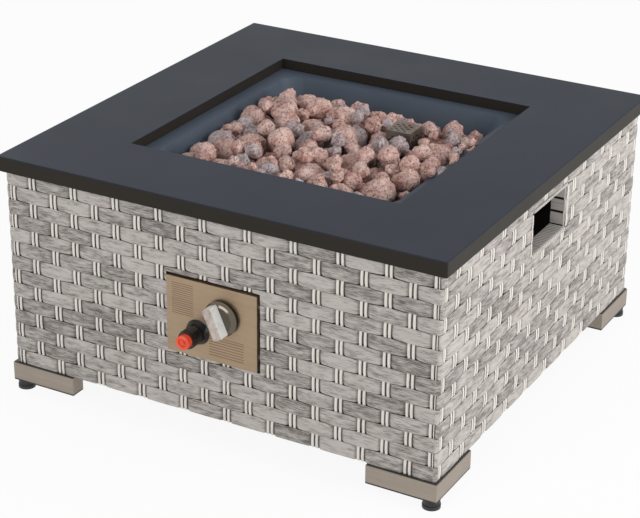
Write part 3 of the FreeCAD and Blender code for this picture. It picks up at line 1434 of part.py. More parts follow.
def hull_faces(points):
    """Triangles of the convex hull, built up point by point."""
    first = [0, 1]
    for index in range(2, len(points)):
        normal = (points[1] - points[0]).cross(points[index] - points[0])
        if len(first) == 2 and normal.Length > 1:
            first.append(index)
        elif len(first) == 3:
            base = (points[first[1]] - points[0]).cross(points[first[2]] - points[0])
            if abs(base.dot(points[index] - points[0])) > 1:
                first.append(index)
                break
    middle = sum((points[i] for i in first), Vector()) * 0.25
    faces = []
    for skip in range(4):
        trio = [first[i] for i in range(4) if i != skip]
        faces.append(outward(points, trio, middle))
    for index, point in enumerate(points):
        if index in first:
            continue
        seen = [face for face in faces if sees(points, face, point)]
        if not seen:
            continue
        edges = set()
        for face in seen:
            for a, b in zip(face, face[1:] + face[:1]):
                if (b, a) in edges:
                    edges.remove((b, a))
                else:
                    edges.add((a, b))
        faces = [face for face in faces if face not in seen]
        faces += [[a, b, index] for a, b in sorted(edges)]
    return faces


def outward(points, trio, middle):
    """A triangle wound so that it faces away from a middle."""
    a, b, c = (points[i] for i in trio)
    if (b - a).cross(c - a).dot(a - middle) < 0:
        return [trio[0], trio[2], trio[1]]
    return trio


def sees(points, face, point):
    """Whether a point is in front of a face."""
    a, b, c = (points[i] for i in face)
    return (b - a).cross(c - a).dot(point - a) > 1e-7


def build_rocks():
    """The heap of lava rock, as faceted stones in two colours."""
    heap = Heap()
    heap.fill()
    print(f"rocks: {len(heap.rocks)}")
    stones = {"lava_rocks_red": [], "lava_rocks_grey": []}
    for index, balls in enumerate(heap.rocks):
        points = heap.touch_points(index)
        dice = random.Random(ROCK_SEED * 1000 + index)
        facets = 12 if balls[0][3] > float(S["rock_small"]) else 8
        for x, y, z, r in (balls[0], balls[2]):
            for number in range(facets):
                climb = 1 - (number + dice.random()) * 2 / facets
                around = number * 2.4 + dice.random() * 0.7
                flat = math.sqrt(max(1 - climb * climb, 0))
                way = Vector(flat * math.cos(around), flat * math.sin(around), climb)
                points.append(Vector(x, y, z) + way * (r * dice.uniform(0.93, 0.985)))
        x, y, z, r = balls[0]
        near = math.hypot(x - 20, y - 30) < 95
        grey = dice.random() < (0.62 if near else 0.12)
        stones["lava_rocks_grey" if grey else "lava_rocks_red"].append(rock_solid(points))
    for name, solids in stones.items():
        keep(name, shaped(Part.makeCompound(solids)))


build_tabletop()
build_pan()
build_frame()
build_wicker()
build_legs()
build_panel()
build_valve()
build_knob()
build_igniter()
build_burner()
build_pilot()
build_leads()
build_rocks()
doc.recompute()

# Nothing is written unless every object and every piece is sound.
faults = [item.Name for item in doc.Objects if "Invalid" in item.State or "Error" in item.State]
for name, item in NODES.items():
    if item.Shape.isNull() or not item.Shape.isValid() or not item.Shape.Solids:
        faults.append(name)
if faults:
    raise RuntimeError(f"failed objects: {faults}")
os.makedirs("parts", exist_ok=True)
for name, item in NODES.items():
    item.Shape.exportStep(os.path.join("parts", f"{name}.step"))
print(f"nodes: {len(NODES)}")
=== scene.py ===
"""Looks of a square wicker gas fire pit table, laid out as a Blender add-on and run as a script."""

import math
import random

import bpy
import numpy as np
from mathutils import Matrix, Vector, noise


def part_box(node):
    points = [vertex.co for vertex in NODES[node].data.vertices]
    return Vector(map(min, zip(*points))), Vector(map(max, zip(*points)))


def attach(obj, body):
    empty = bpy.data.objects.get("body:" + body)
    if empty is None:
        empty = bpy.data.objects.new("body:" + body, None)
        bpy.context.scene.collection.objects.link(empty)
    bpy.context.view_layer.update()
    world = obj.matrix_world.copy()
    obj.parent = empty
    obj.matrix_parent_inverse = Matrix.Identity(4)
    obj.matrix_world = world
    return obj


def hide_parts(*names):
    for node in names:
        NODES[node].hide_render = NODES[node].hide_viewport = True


bl_info = {
    "name": "Wicker Fire Pit Table",
    "version": (1, 0, 0),
    "blender": (4, 5, 0),
    "location": "View3D > Sidebar > Fire Pit",
    "description": "Weave, stones, metal finishes and a studio for a square wicker gas fire pit table",
    "category": "Object",
}

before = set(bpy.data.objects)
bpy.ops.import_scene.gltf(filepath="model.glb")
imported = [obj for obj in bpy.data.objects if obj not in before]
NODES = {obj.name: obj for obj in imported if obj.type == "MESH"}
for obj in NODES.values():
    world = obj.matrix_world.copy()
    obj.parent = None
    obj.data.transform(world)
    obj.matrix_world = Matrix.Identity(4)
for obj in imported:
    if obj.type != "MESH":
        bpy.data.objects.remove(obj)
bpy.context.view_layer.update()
WALLS = ("wicker_front", "wicker_right", "wicker_back", "wicker_left")
WALL_LOW, WALL_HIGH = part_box("wicker_front")
SIDE = WALL_HIGH.x - WALL_LOW.x
PANEL_LOW, PANEL_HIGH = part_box("control_panel")


# Settings that a user would change

def colour(name, default, description):
    """A colour setting."""
    return bpy.props.FloatVectorProperty(
        name=name, default=default, description=description, subtype="COLOR", size=3, min=0, max=1
    )


def length(name, default, description):
    """A length setting in metres."""
    return bpy.props.FloatProperty(name=name, default=default, description=description, unit="LENGTH")


class WeaveSettings(bpy.types.PropertyGroup):
    """Sizes and colours of the woven walls."""

    rows: bpy.props.IntProperty(name="Rows", default=14, min=2, description="Rows of flat weavers")
    pitch: length("Stake pitch", 0.03564, "From one pair of stakes to the next")
    first: length("First stake", 0.0113, "From a corner to the first pair of stakes")
    dip: length("Dip", 0.0033, "How far a weaver goes in under a stake")
    thickness: length("Strand thickness", 0.0012, "Thickness of a flat weaver")
    stake_width: length("Stake width", 0.0046, "Width of one half-round stake")
    stake_gap: length("Stake gap", 0.0022, "Between the two stakes of a pair")
    weaver: colour("Weaver", (0.485, 0.452, 0.425), "Grey of the flat weavers")
    weaver_dark: colour("Weaver streak", (0.115, 0.098, 0.088), "Grey of the streaks in them")
    stake: colour("Stake", (0.76, 0.72, 0.665), "Cream of the stakes")


class StoneSettings(bpy.types.PropertyGroup):
    """Colours and roughness of the lava stones."""

    red: colour("Red stone", (1.0, 0.51, 0.45), "Red lava stone")
    grey: colour("Grey stone", (0.56, 0.47, 0.475), "Grey lava stone")
    lump: length("Lump", 0.0085, "Height of the lumps on a stone")
    pore: length("Pore", 0.0019, "Depth of the fine pores")


class FinishSettings(bpy.types.PropertyGroup):
    """Colours of the painted and metal parts."""

    top: colour("Tabletop", (0.0195, 0.0255, 0.0385), "Dark coat of the tabletop")
    # Painted light: the upright edge of the top gets its own warmer tone for how light falls on it.
    edge: colour("Tabletop edge", (0.024, 0.0205, 0.0165), "Warm dark coat of its upright edge")
    pan: colour("Fire pan", (0.075, 0.095, 0.125), "Blue-grey coat of the pan")
    frame_coat: colour("Frame", (0.018, 0.018, 0.019), "Black coat of the frame")
    leg: colour("Leg", (0.33, 0.28, 0.232), "Warm brushed metal of the legs")
    panel: colour("Panel", (0.36, 0.262, 0.174), "Warm brushed metal of the control panel")
    red_cap: colour("Igniter cap", (0.80, 0.07, 0.025), "Red cap of the igniter")


class StudioSettings(bpy.types.PropertyGroup):
    """Camera and floor of the studio."""

    eye: bpy.props.FloatVectorProperty(
        name="Camera",
        default=(1.287, -2.375, 1.405),
        description="Place of the camera",
        subtype="TRANSLATION",
    )
    yaw: bpy.props.FloatProperty(name="Yaw", default=-28.91, description="Turn of the camera in degrees")
    pitch: bpy.props.FloatProperty(name="Pitch", default=-24.86, description="Tilt of the camera in degrees")
    roll: bpy.props.FloatProperty(name="Roll", default=0.64, description="Roll of the camera in degrees")
    lens: bpy.props.FloatProperty(name="Lens", default=109.3, description="Focal length in millimetres")
    floor: length("Floor", 16.0, "Width of the floor")


# Materials

class Finish:
    """A node material in the making."""

    def __init__(self, name, base, roughness, metallic=0.0):
        self.material = bpy.data.materials.new(name)
        self.material.use_nodes = True
        self.nodes = self.material.node_tree.nodes
        self.links = self.material.node_tree.links
        self.shader = self.nodes["Principled BSDF"]
        self.shader.inputs["Base Color"].default_value = (*base, 1)
        self.shader.inputs["Roughness"].default_value = roughness
        self.shader.inputs["Metallic"].default_value = metallic
        self.material.diffuse_color = (*base, 1)
        self.relief = None

    def add(self, kind, **values):
        """A node with its properties and inputs set by name."""
        node = self.nodes.new(kind)
        for key, value in values.items():
            if hasattr(node, key):
                setattr(node, key, value)
            else:
                node.inputs[key.replace("_", " ")].default_value = value
        return node

    def place(self, stretch=(1, 1, 1), turn=0.0, own_map=False):
        """Object coordinates or the piece's own map, stretched."""
        source = self.add("ShaderNodeTexCoord")
        mapping = self.add("ShaderNodeMapping")
        mapping.inputs["Scale"].default_value = stretch
        mapping.inputs["Rotation"].default_value = (0, 0, turn)
        self.links.new(source.outputs["UV" if own_map else "Object"], mapping.inputs["Vector"])
        return mapping.outputs["Vector"]

    def noise(self, where, scale, detail=3.0, rough=0.55):
        """A noise value between 0 and 1."""
        node = self.add("ShaderNodeTexNoise", Scale=scale, Detail=detail, Roughness=rough)
        self.links.new(where, node.inputs["Vector"])
        return node.outputs["Fac"]

    def cells(self, where, scale):
        """Distance to the nearest of a cloud of points."""
        node = self.add("ShaderNodeTexVoronoi", Scale=scale)
        self.links.new(where, node.inputs["Vector"])
        return node.outputs["Distance"]

    def math(self, kind, first, second=0.0):
        """One sum of one or two values."""
        node = self.add("ShaderNodeMath", operation=kind)
        for socket, value in zip(node.inputs, (first, second)):
            if isinstance(value, (int, float)):
                socket.default_value = value
            else:
                self.links.new(value, socket)
        return node.outputs[0]

    def split(self, where):
        """The three parts of a place: across, out and up."""
        node = self.add("ShaderNodeSeparateXYZ")
        self.links.new(where, node.inputs["Vector"])
        return node.outputs

    def blend(self, first, second, share):
        """Two values added, the first with its share and the second with the rest."""
        kept = self.math("MULTIPLY", first, share)
        return self.math("ADD", kept, self.math("MULTIPLY", second, 1 - share))

    def spread(self, value, low, high, to_low=0.0, to_high=1.0):
        """A value moved from one range to another."""
        node = self.add("ShaderNodeMapRange")
        for key, number in zip(("From Min", "From Max", "To Min", "To Max"), (low, high, to_low, to_high)):
            node.inputs[key].default_value = number
        self.links.new(value, node.inputs["Value"])
        return node.outputs["Result"]

    def mix(self, factor, first, second):
        """A colour between two colours."""
        node = self.add("ShaderNodeMix", data_type="RGBA")
        self.links.new(factor, node.inputs["Factor"])
        for socket, value in ((node.inputs[6], first), (node.inputs[7], second)):
            if isinstance(value, tuple):
                socket.default_value = (*value[:3], 1)
            else:
                self.links.new(value, socket)
        return node.outputs[2]

    def paint(self, value):
        """Colour from a node."""
        self.links.new(value, self.shader.inputs["Base Color"])

    def shine(self, value):
        """Roughness from a node."""
        self.links.new(value, self.shader.inputs["Roughness"])

    def bump(self, height, depth, strength=1.0):
        """Relief from a height, one over the other."""
        node = self.add("ShaderNodeBump", Strength=strength, Distance=depth)
        self.links.new(height, node.inputs["Height"])
        if self.relief is not None:
            self.links.new(self.relief, node.inputs["Normal"])
        self.relief = node.outputs["Normal"]
        self.links.new(self.relief, self.shader.inputs["Normal"])


def shade(base, factor):
    """A colour made darker or lighter."""
    return tuple(min(1.0, part * factor) for part in base)


def tinge(base, red, green, blue):
    """A colour with each part changed a little."""
    return tuple(min(1.0, part * factor) for part, factor in zip(base, (red, green, blue)))


def coated(name, base, roughness, edge=None, painted_edge_below=0.0):
    """A powder coat with fine grain and faint clouds, and below a height, if it is set, an edge tone painted
    for how light falls on an upright edge.
    """
    finish = Finish(name, base, roughness)
    where = finish.place()
    finish.shader.inputs["Specular IOR Level"].default_value = 0.1
    cloud = finish.noise(where, 5.0, 4.0)
    tone = finish.mix(finish.spread(cloud, 0.3, 0.7), shade(base, 0.94), shade(base, 1.07))
    # Painted light: below the height, the upright edge takes another tone.
    if edge:
        up = finish.split(where)[2]
        tone = finish.mix(finish.math("LESS_THAN", up, painted_edge_below), tone, edge)
    finish.paint(tone)
    finish.shine(finish.spread(finish.noise(where, 9.0, 3.0), 0.3, 0.7, roughness - 0.02, roughness + 0.02))
    finish.bump(finish.noise(where, 900.0, 2.0), 0.00012, 0.5)
    return finish.material


def brushed(name, base, roughness, stretch, metallic=1.0, stains=0.12):
    """Brushed metal: fine lines one way and faint stains."""
    finish = Finish(name, base, roughness, metallic)
    lines = finish.noise(finish.place(stretch), 1.0, 3.0, 0.6)
    stain = finish.noise(finish.place(), 14.0, 4.0)
    tone = finish.spread(finish.blend(lines, stain, 0.6), 0.3, 0.7)
    finish.paint(finish.mix(tone, shade(base, 1 - stains * 2), shade(base, 1 + stains)))
    finish.shine(finish.spread(lines, 0.3, 0.7, roughness - 0.08, roughness + 0.1))
    finish.bump(lines, 0.00008, 0.5)
    return finish.material


def moulded(name, base, roughness, grain=700.0, depth=0.00006):
    """Moulded plastic or rubber with a fine grain."""
    finish = Finish(name, base, roughness)
    where = finish.place()
    tone = finish.spread(finish.noise(where, 60.0), 0.3, 0.7)
    finish.paint(finish.mix(tone, shade(base, 0.9), shade(base, 1.1)))
    finish.shine(finish.spread(finish.noise(where, 120.0), 0.3, 0.7, roughness - 0.05, roughness + 0.08))
    finish.bump(finish.noise(where, grain, 2.0), depth, 0.4)
    return finish.material


def cast(name, base, roughness, tarnish):
    """Cast or turned metal with a little tarnish."""
    finish = Finish(name, base, roughness, 1.0)
    where = finish.place()
    patches = finish.spread(finish.noise(where, 45.0, 5.0), 0.38, 0.68)
    finish.paint(finish.mix(patches, shade(base, 1.05), tarnish))
    finish.shine(finish.spread(finish.noise(where, 180.0), 0.3, 0.7, roughness - 0.07, roughness + 0.12))
    finish.bump(finish.noise(where, 500.0, 3.0), 0.0001, 0.4)
    return finish.material


def woven_strand(name, light, dark, streak, darkest, lightest):
    """A plastic wicker strand: streaks along it, a shade for each stretch and painted shade in its recesses.
    """
    finish = Finish(name, light, 0.48)
    finish.shader.inputs["Specular IOR Level"].default_value = 0.4
    fine = finish.noise(finish.place(streak, own_map=True), 1.0, 6.0, 0.72)
    broad = finish.noise(finish.place((streak[0] * 0.4, streak[1] * 0.2, 1), own_map=True), 1.0, 3.0, 0.6)
    tone = finish.blend(fine, broad, 0.6)
    each = finish.add("ShaderNodeAttribute", attribute_name="shade")
    tone = finish.math("ADD", tone, finish.math("MULTIPLY", each.outputs["Fac"], 0.05))
    tint = finish.noise(finish.place((0.35, 0.9, 1), own_map=True), 1.0, 2.0, 0.5)
    greenish = tinge(light, 0.98, 1.0, 0.965)
    pinkish = tinge(light, 1.01, 0.985, 1.01)
    tinted = finish.mix(finish.spread(tint, 0.3, 0.7), greenish, pinkish)
    body = finish.mix(finish.spread(tone, darkest, lightest), dark, tinted)
    # Painted shade: the colour is darkened towards near-black by the attribute set in the dips and between
    # strands.
    recess_shade = finish.add("ShaderNodeAttribute", attribute_name="recess_shade")
    painted_shade = finish.spread(recess_shade.outputs["Fac"], 0.0, 1.0, 0.0, 0.82)
    finish.paint(finish.mix(painted_shade, body, (0.05, 0.042, 0.036)))
    finish.shine(finish.spread(fine, 0.3, 0.7, 0.42, 0.58))
    finish.bump(fine, 0.0005, 0.7)
    return finish.material


def lava(name, base):
    """Porous lava stone: pits, crumbs and a mottled colour, with painted shade in the pits."""
    finish = Finish(name, base, 0.95)
    finish.shader.inputs["Specular IOR Level"].default_value = 0.2
    where = finish.place()
    pits = finish.cells(where, 300.0)
    crumbs = finish.noise(where, 210.0, 8.0, 0.78)
    mottle = finish.noise(where, 34.0, 4.0, 0.6)
    tone = finish.blend(crumbs, mottle, 0.6)
    warm = finish.mix(finish.spread(tone, 0.36, 0.55), tinge(base, 0.46, 0.34, 0.33), shade(base, 1.4))
    ash = finish.mix(finish.spread(tone, 0.38, 0.6), (0.22, 0.18, 0.18), (0.72, 0.62, 0.61))
    ashen = finish.spread(finish.noise(where, 17.0, 2.0), 0.50, 0.68, 0.0, 0.3)
    # Painted shade: the colour goes nearly to black in the pits.
    painted_pit_shade = finish.spread(pits, 0.08, 0.34, 0.85, 0.0)
    finish.paint(finish.mix(painted_pit_shade, finish.mix(ashen, warm, ash), shade(base, 0.16)))
    finish.bump(crumbs, 0.0045, 1.0)
    finish.bump(finish.spread(pits, 0.0, 0.4), 0.0022, 1.0)
    return finish.material


RULED_BLOCKS = (
    (-0.064, -0.029, 0.1985, 0.2475, 0.0033),
    (-0.004, 0.052, 0.1475, 0.1775, 0.0041),
)
RULED_FRONT = -0.3519
LINE_SHARE, LINE_STRENGTH = 0.42, 0.62


def ruled_panel(name, base):
    """Brushed panel with blocks of plain engraved lines: left, right, low, high and step of each."""
    finish = Finish(name, base, 0.36, 0.85)
    grain = finish.noise(finish.place((8, 1, 900)), 1.0, 3.0, 0.6)
    stain = finish.noise(finish.place(), 20.0, 4.0)
    tone = finish.blend(grain, stain, 0.55)
    metal = finish.mix(finish.spread(tone, 0.3, 0.7), shade(base, 0.82), shade(base, 1.1))
    across, out, up = finish.split(finish.place())
    blocks = []
    for left, right, low, high, step in RULED_BLOCKS:
        inside = finish.math("GREATER_THAN", across, left)
        inside = finish.math("MULTIPLY", inside, finish.math("LESS_THAN", across, right))
        inside = finish.math("MULTIPLY", inside, finish.math("GREATER_THAN", up, low))
        inside = finish.math("MULTIPLY", inside, finish.math("LESS_THAN", up, high))
        stripe = finish.math("MODULO", finish.math("SUBTRACT", up, low), step)
        line = finish.math("LESS_THAN", stripe, step * LINE_SHARE)
        blocks.append(finish.math("MULTIPLY", inside, line))
    faced = finish.math("LESS_THAN", out, RULED_FRONT)
    marks = finish.math("MULTIPLY", finish.math("MAXIMUM", *blocks), faced)
    marks = finish.math("MULTIPLY", marks, LINE_STRENGTH)
    finish.paint(finish.mix(marks, metal, (0.13, 0.085, 0.055)))
    finish.shine(finish.spread(grain, 0.3, 0.7, 0.28, 0.46))
    finish.bump(grain, 0.00006, 0.4)
    return finish.material


FRONT_FACE_DEPTH = 0.0009


# face is the colour of the painted reflection on the bar's front.
def grip_finish(name, side, face, front):
    """Satin metal, with a painted reflection on the bar's front, browner and darker than its sides."""
    finish = Finish(name, side, 0.3, 0.1)
    out = finish.split(finish.place())[1]
    # Painted reflection: the front face of the bar takes the face colour, mottled.
    fronted = finish.math("LESS_THAN", out, front + FRONT_FACE_DEPTH)
    blotches = finish.spread(finish.noise(finish.place((90, 90, 90)), 1.0, 4.0), 0.35, 0.65)
    painted_reflection = finish.mix(blotches, shade(face, 0.78), shade(face, 1.22))
    worn = finish.mix(blotches, shade(side, 0.93), side)
    finish.paint(finish.mix(fronted, worn, painted_reflection))
    finish.shine(finish.spread(blotches, 0, 1, 0.24, 0.34))
    finish.bump(finish.noise(finish.place((40, 400, 400)), 1.0), 0.00005, 0.4)
    return finish.material


RING_PITCH = 0.0036


def ringed_cap(name, base, middle):
    """Red plastic with faint moulded rings round its own middle."""
    finish = Finish(name, base, 0.28)
    parts = finish.split(finish.place())
    across = finish.math("SUBTRACT", parts[0], middle.x)
    up = finish.math("SUBTRACT", parts[2], middle.z)
    squares = finish.math("ADD", finish.math("POWER", across, 2), finish.math("POWER", up, 2))
    rings = finish.math("SINE", finish.math("MULTIPLY", finish.math("SQRT", squares), math.tau / RING_PITCH))
    wear = finish.noise(finish.place(), 160.0)
    finish.paint(finish.mix(finish.spread(wear, 0.3, 0.7), shade(base, 0.8), shade(base, 1.15)))
    finish.bump(rings, 0.0004, 0.8)
    return finish.material


# Shaping helpers

def deselect():
    """Nothing selected, in object mode."""
    if bpy.context.object and bpy.context.object.mode != "OBJECT":
        bpy.ops.object.mode_set(mode="OBJECT")
    bpy.ops.object.select_all(action="DESELECT")


def only(piece):
    """Just this piece selected and active."""
    deselect()
    piece.select_set(True)
    bpy.context.view_layer.objects.active = piece


def finish_modifier(piece, kind, **values):
    """A modifier added with its values and applied."""
    only(piece)
    modifier = piece.modifiers.new(kind, kind)
    for key, value in values.items():
        setattr(modifier, key, value)
    bpy.ops.object.modifier_apply(modifier=modifier.name)


def joined(name, pieces):
    """Pieces made one object."""
    deselect()
    for piece in pieces:
        piece.select_set(True)
    bpy.context.view_layer.objects.active = pieces[0]
    bpy.ops.object.join()
    pieces[0].name = name
    pieces[0].data.name = name
    return pieces[0]


def sheet_of(columns, rows):
    """A flat unit grid with so many columns and rows of corners."""
    deselect()
    bpy.ops.mesh.primitive_grid_add(x_subdivisions=columns - 1, y_subdivisions=rows - 1, size=2)
    return bpy.context.object


def grid_corners(sheet, columns, rows):
    """Column and row of every corner of a unit grid."""
    flat = np.empty(len(sheet.data.vertices) * 3)
    sheet.data.vertices.foreach_get("co", flat)
    flat = flat.reshape(-1, 3)
    column = np.rint((flat[:, 0] + 1) / 2 * (columns - 1)).astype(int)
    row = np.rint((flat[:, 1] + 1) / 2 * (rows - 1)).astype(int)
    return column, row


def moved_copy(sheet, points, along, across, tone, recess_shade):
    """A copy of a grid with its corners at points, its own map, and a random shade and an amount of painted
    shade for every corner.
    """
    piece = sheet.copy()
    piece.data = sheet.data.copy()
    bpy.context.collection.objects.link(piece)
    mesh = piece.data
    mesh.vertices.foreach_set("co", np.asarray(points).ravel())
    corner = np.empty(len(mesh.loops), int)
    mesh.loops.foreach_get("vertex_index", corner)
    mesh.uv_layers.active.data.foreach_set("uv", np.stack([along[corner], across[corner]], 1).ravel())
    # The second attribute holds painted shade for the dips and edges; the first is a random tone.
    for name, values in (("shade", tone), ("recess_shade", recess_shade)):
        layer = mesh.attributes.new(name, "FLOAT", "POINT")
        layer.data.foreach_set("value", np.broadcast_to(values, (len(points),)).astype(np.float32))
    mesh.update()
    return piece


def dressed(piece, material, smooth):
    """Material, smooth faces up to an angle, body and slot for a new piece."""
    piece.data.materials.clear()
    piece.data.materials.append(material)
    only(piece)
    bpy.ops.object.shade_smooth_by_angle(angle=math.radians(smooth))
    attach(piece, "base")


def merge_close(piece, reach):
    """Joins the corners that lie closer together than reach."""
    only(piece)
    bpy.ops.object.mode_set(mode="EDIT")
    bpy.ops.mesh.select_all(action="SELECT")
    bpy.ops.mesh.remove_doubles(threshold=reach)
    bpy.ops.object.mode_set(mode="OBJECT")


def dress_node(name, material):
    """A CAD node gets its material."""
    mesh = NODES[name].data
    mesh.materials.clear()
    mesh.materials.append(material)


# The weave

STAKES_PER_SIDE = 20
STAKES = STAKES_PER_SIDE * 4
CORNER_RADIUS = 0.008
STRAIGHT_STEPS = (0.0, 0.15, 0.215, 0.285, 0.5, 0.715, 0.785, 0.85)
CORNER_STEPS = (0.0, 0.17, 0.223, 0.33, 0.44, 0.545, 0.65, 0.76, 0.867)
DIP_REACH, DIP_SLOPE = 0.0102, 0.0046
# Reach and fall-off of the painted shade on a weaver beside each shown stake.
SHADE_REACH, SHADE_SLOPE = 0.0086, 0.002
FROM_OVER = (0, 0.5, 0.8, 1)
WEAVER_WIDTHS = (0.0222, 0.0212, 0.0192, 0.0172)
WEAVER_CROWN, WEAVER_LIFT, WEAVER_LOOSE, WEAVER_WANDER = 0.0009, 0.0007, 0.00018, 0.0009
STAKE_LEVELS = (-0.5, -0.36, -0.16, 0.16, 0.36)
STAKE_DEPTH, STAKE_RISE, STAKE_ROUND, STAKE_LEAN = 0.0016, 0.0009, 0.0012, 0.00035
STAKE_THICKNESS = 0.0015
RISE_END, RISE_SLOPE = 0.47, 0.2
# Depth, thickness, levels and lift of the dark sheet of painted shade behind the weave.
SHADE_SHEET_DEPTH, SHADE_SHEET_THICKNESS, SHADE_SHEET_LEVELS, SHADE_SHEET_LIFT = 0.0056, 0.001, 15, 0.0005
SEAM = 0.00002
NUDGE = 1e-9


def clipped(value):
    """A value cut to between 0 and 1."""
    return np.clip(value, 0, 1)


def eased(value):
    """A value between 0 and 1 with soft ends."""
    return value * value * (3 - 2 * value)


def row_height(weave):
    """Height of one row of weavers."""
    return (WALL_HIGH.z - WALL_LOW.z) / weave.rows


def ring_points(u, depth, weave):
    """Points round the body at stake number u, depth in from the faces, without their height."""
    side = np.floor(u / STAKES_PER_SIDE).astype(int)
    place = u - side * STAKES_PER_SIDE
    last = STAKES_PER_SIDE - 1
    last_at = weave.first + weave.pitch * last
    round_corner = (place - last) * (SIDE - last_at + weave.first)
    along = np.where(place <= last, weave.first + weave.pitch * place, last_at + round_corner)
    over = along > SIDE
    side = side + over
    along = along - SIDE * over
    half = SIDE / 2
    r = CORNER_RADIUS
    edge = np.minimum(along, SIDE - along)
    angle = clipped(1 - edge / r) * math.pi / 4
    sign = np.where(along < half, -1.0, 1.0)
    in_arc = edge < r
    x = np.where(in_arc, sign * (half - r + (r - depth) * np.sin(angle)), along - half)
    y = np.where(in_arc, -(half - r) - (r - depth) * np.cos(angle), -half + depth)
    turn = side * math.pi / 2
    return x * np.cos(turn) - y * np.sin(turn), x * np.sin(turn) + y * np.cos(turn)


def stake_steps():
    """Stake numbers at which the weavers have corners, close together where they dip."""
    steps = []
    for number in range(STAKES):
        at_corner = number % STAKES_PER_SIDE == STAKES_PER_SIDE - 1
        steps += [number + part for part in (CORNER_STEPS if at_corner else STRAIGHT_STEPS)]
    return np.array([*steps, STAKES])


def weaver_rows(weave):
    """All the flat weavers, over one pair of stakes and under the next."""
    steps = stake_steps()
    bands = np.array([-1.0, -0.5, 0.0, 0.5, 1.0])
    sheet = sheet_of(len(steps), len(bands))
    column, band = grid_corners(sheet, len(steps), len(bands))
    u = steps[column]
    across = bands[band]
    nearest = np.rint(u)
    from_stake = np.abs(u - nearest)
    away = from_stake * weave.pitch
    height = row_height(weave)
    dice = random.Random(11)
    pieces = []
    for row in range(weave.rows):
        shown = (nearest + row) % 2 == 1
        under = eased(clipped((DIP_REACH - away) / DIP_SLOPE)) * shown
        from_over = np.where(shown, 1 - from_stake, from_stake)
        width = np.interp(from_over, FROM_OVER, WEAVER_WIDTHS)
        loose = np.array([dice.uniform(-0.5, 0.5) for _ in range(STAKES + 1)])
        drift = np.interp(u, np.arange(len(loose)), loose)
        drift[u >= STAKES - 0.001] = loose[0]
        crown = WEAVER_CROWN * across ** 2
        lift = WEAVER_LIFT * from_over ** 2
        depth = weave.dip * under + crown + lift * (1 - under) + WEAVER_LOOSE * (drift + 0.5)
        x, y = ring_points(u, depth, weave)
        middle = WALL_HIGH.z - height * (row + 0.5)
        z = middle + across * width / 2 + drift * WEAVER_WANDER
        if row == 0:
            z = np.where(across > 0, middle + across * height / 2, z)
        if row == weave.rows - 1:
            z = np.where(across < 0, middle + across * height / 2, z)
        z = np.clip(z, WALL_LOW.z, WALL_HIGH.z)
        over_number = np.floor((u + 1 - row % 2) / 2).astype(int) % (STAKES // 2)
        tones = np.array([dice.uniform(-1, 1) for _ in range(STAKES // 2)])
        points = np.stack([x, y, z], 1)
        # Painted shade where the weaver dips in beside a shown stake.
        shaded = clipped((SHADE_REACH - away) / SHADE_SLOPE) * shown
        pieces.append(moved_copy(sheet, points, u, row + across / 2 + 0.5, tones[over_number], shaded))
    bpy.data.objects.remove(sheet)
    return joined("weavers", pieces)


def stake_pairs(weave):
    """The pairs of half-round stakes, behind one weaver and before the next."""
    levels = [row + part for row in range(weave.rows) for part in STAKE_LEVELS]
    levels = np.array([*levels, weave.rows - 0.5])
    bands = np.array([-1.0, -0.5, 0.5, 1.0])
    sheet = sheet_of(len(levels), len(bands))
    column, band = grid_corners(sheet, len(levels), len(bands))
    level = levels[column]
    across = bands[band]
    z = WALL_HIGH.z - (level + 0.5) * row_height(weave)
    nearest = np.rint(level)
    away = np.abs(level - nearest)
    # Painted shade along both edges of every stake, in the gap of the pair and beside it.
    shaded = clipped((np.abs(across) - 0.5) * 1.2) * 0.7
    dice = random.Random(23)
    pieces = []
    for number in range(STAKES):
        shown = (nearest + number) % 2 == 1
        out = eased(clipped((RISE_END - away) / RISE_SLOPE) * shown)
        depth = STAKE_DEPTH - STAKE_RISE * out + STAKE_ROUND * across ** 2
        for side in (-1, 1):
            leans = [dice.uniform(-1, 1) for _ in range(weave.rows)]
            lean = np.interp(level, np.arange(weave.rows), leans) * STAKE_LEAN
            middle = side * (weave.stake_width + weave.stake_gap) / 2 + lean
            offset = (middle + across * weave.stake_width / 2) / weave.pitch
            x, y = ring_points(number + offset + NUDGE, depth, weave)
            tone = dice.uniform(-1, 1)
            points = np.stack([x, y, z], 1)
            map_across = number * 2 + side * 0.5 + across * 0.4
            pieces.append(moved_copy(sheet, points, level, map_across, tone, shaded))
    bpy.data.objects.remove(sheet)
    return joined("stakes", pieces)


CUT_REACH = 0.03
PANEL_GAP, SHADE_SHEET_GAP = 0.0026, 0.0003
WALL_IN, WALL_OUT = 0.33, 0.36
HAND_HALF = 0.060
HAND_LOW, HAND_HIGH = 0.2635, 0.3275


def faces_near(mesh, low, high, margin):
    """Selects the faces within margin of a box."""
    for polygon in mesh.polygons:
        centre = polygon.center
        polygon.select = all(low[i] - margin < centre[i] < high[i] + margin for i in range(3))


def open_hole(piece, low, high, cuts):
    """Cuts straight edges at the planes and takes out the faces inside the box."""
    for where, direction in cuts:
        only(piece)
        faces_near(piece.data, low, high, CUT_REACH)
        bpy.ops.object.mode_set(mode="EDIT")
        bpy.ops.mesh.select_mode(type="FACE")
        bpy.ops.mesh.bisect(plane_co=where, plane_no=direction)
        bpy.ops.object.mode_set(mode="OBJECT")
    faces_near(piece.data, low, high, 0.0)
    bpy.ops.object.mode_set(mode="EDIT")
    bpy.ops.mesh.delete(type="FACE")
    bpy.ops.object.mode_set(mode="OBJECT")


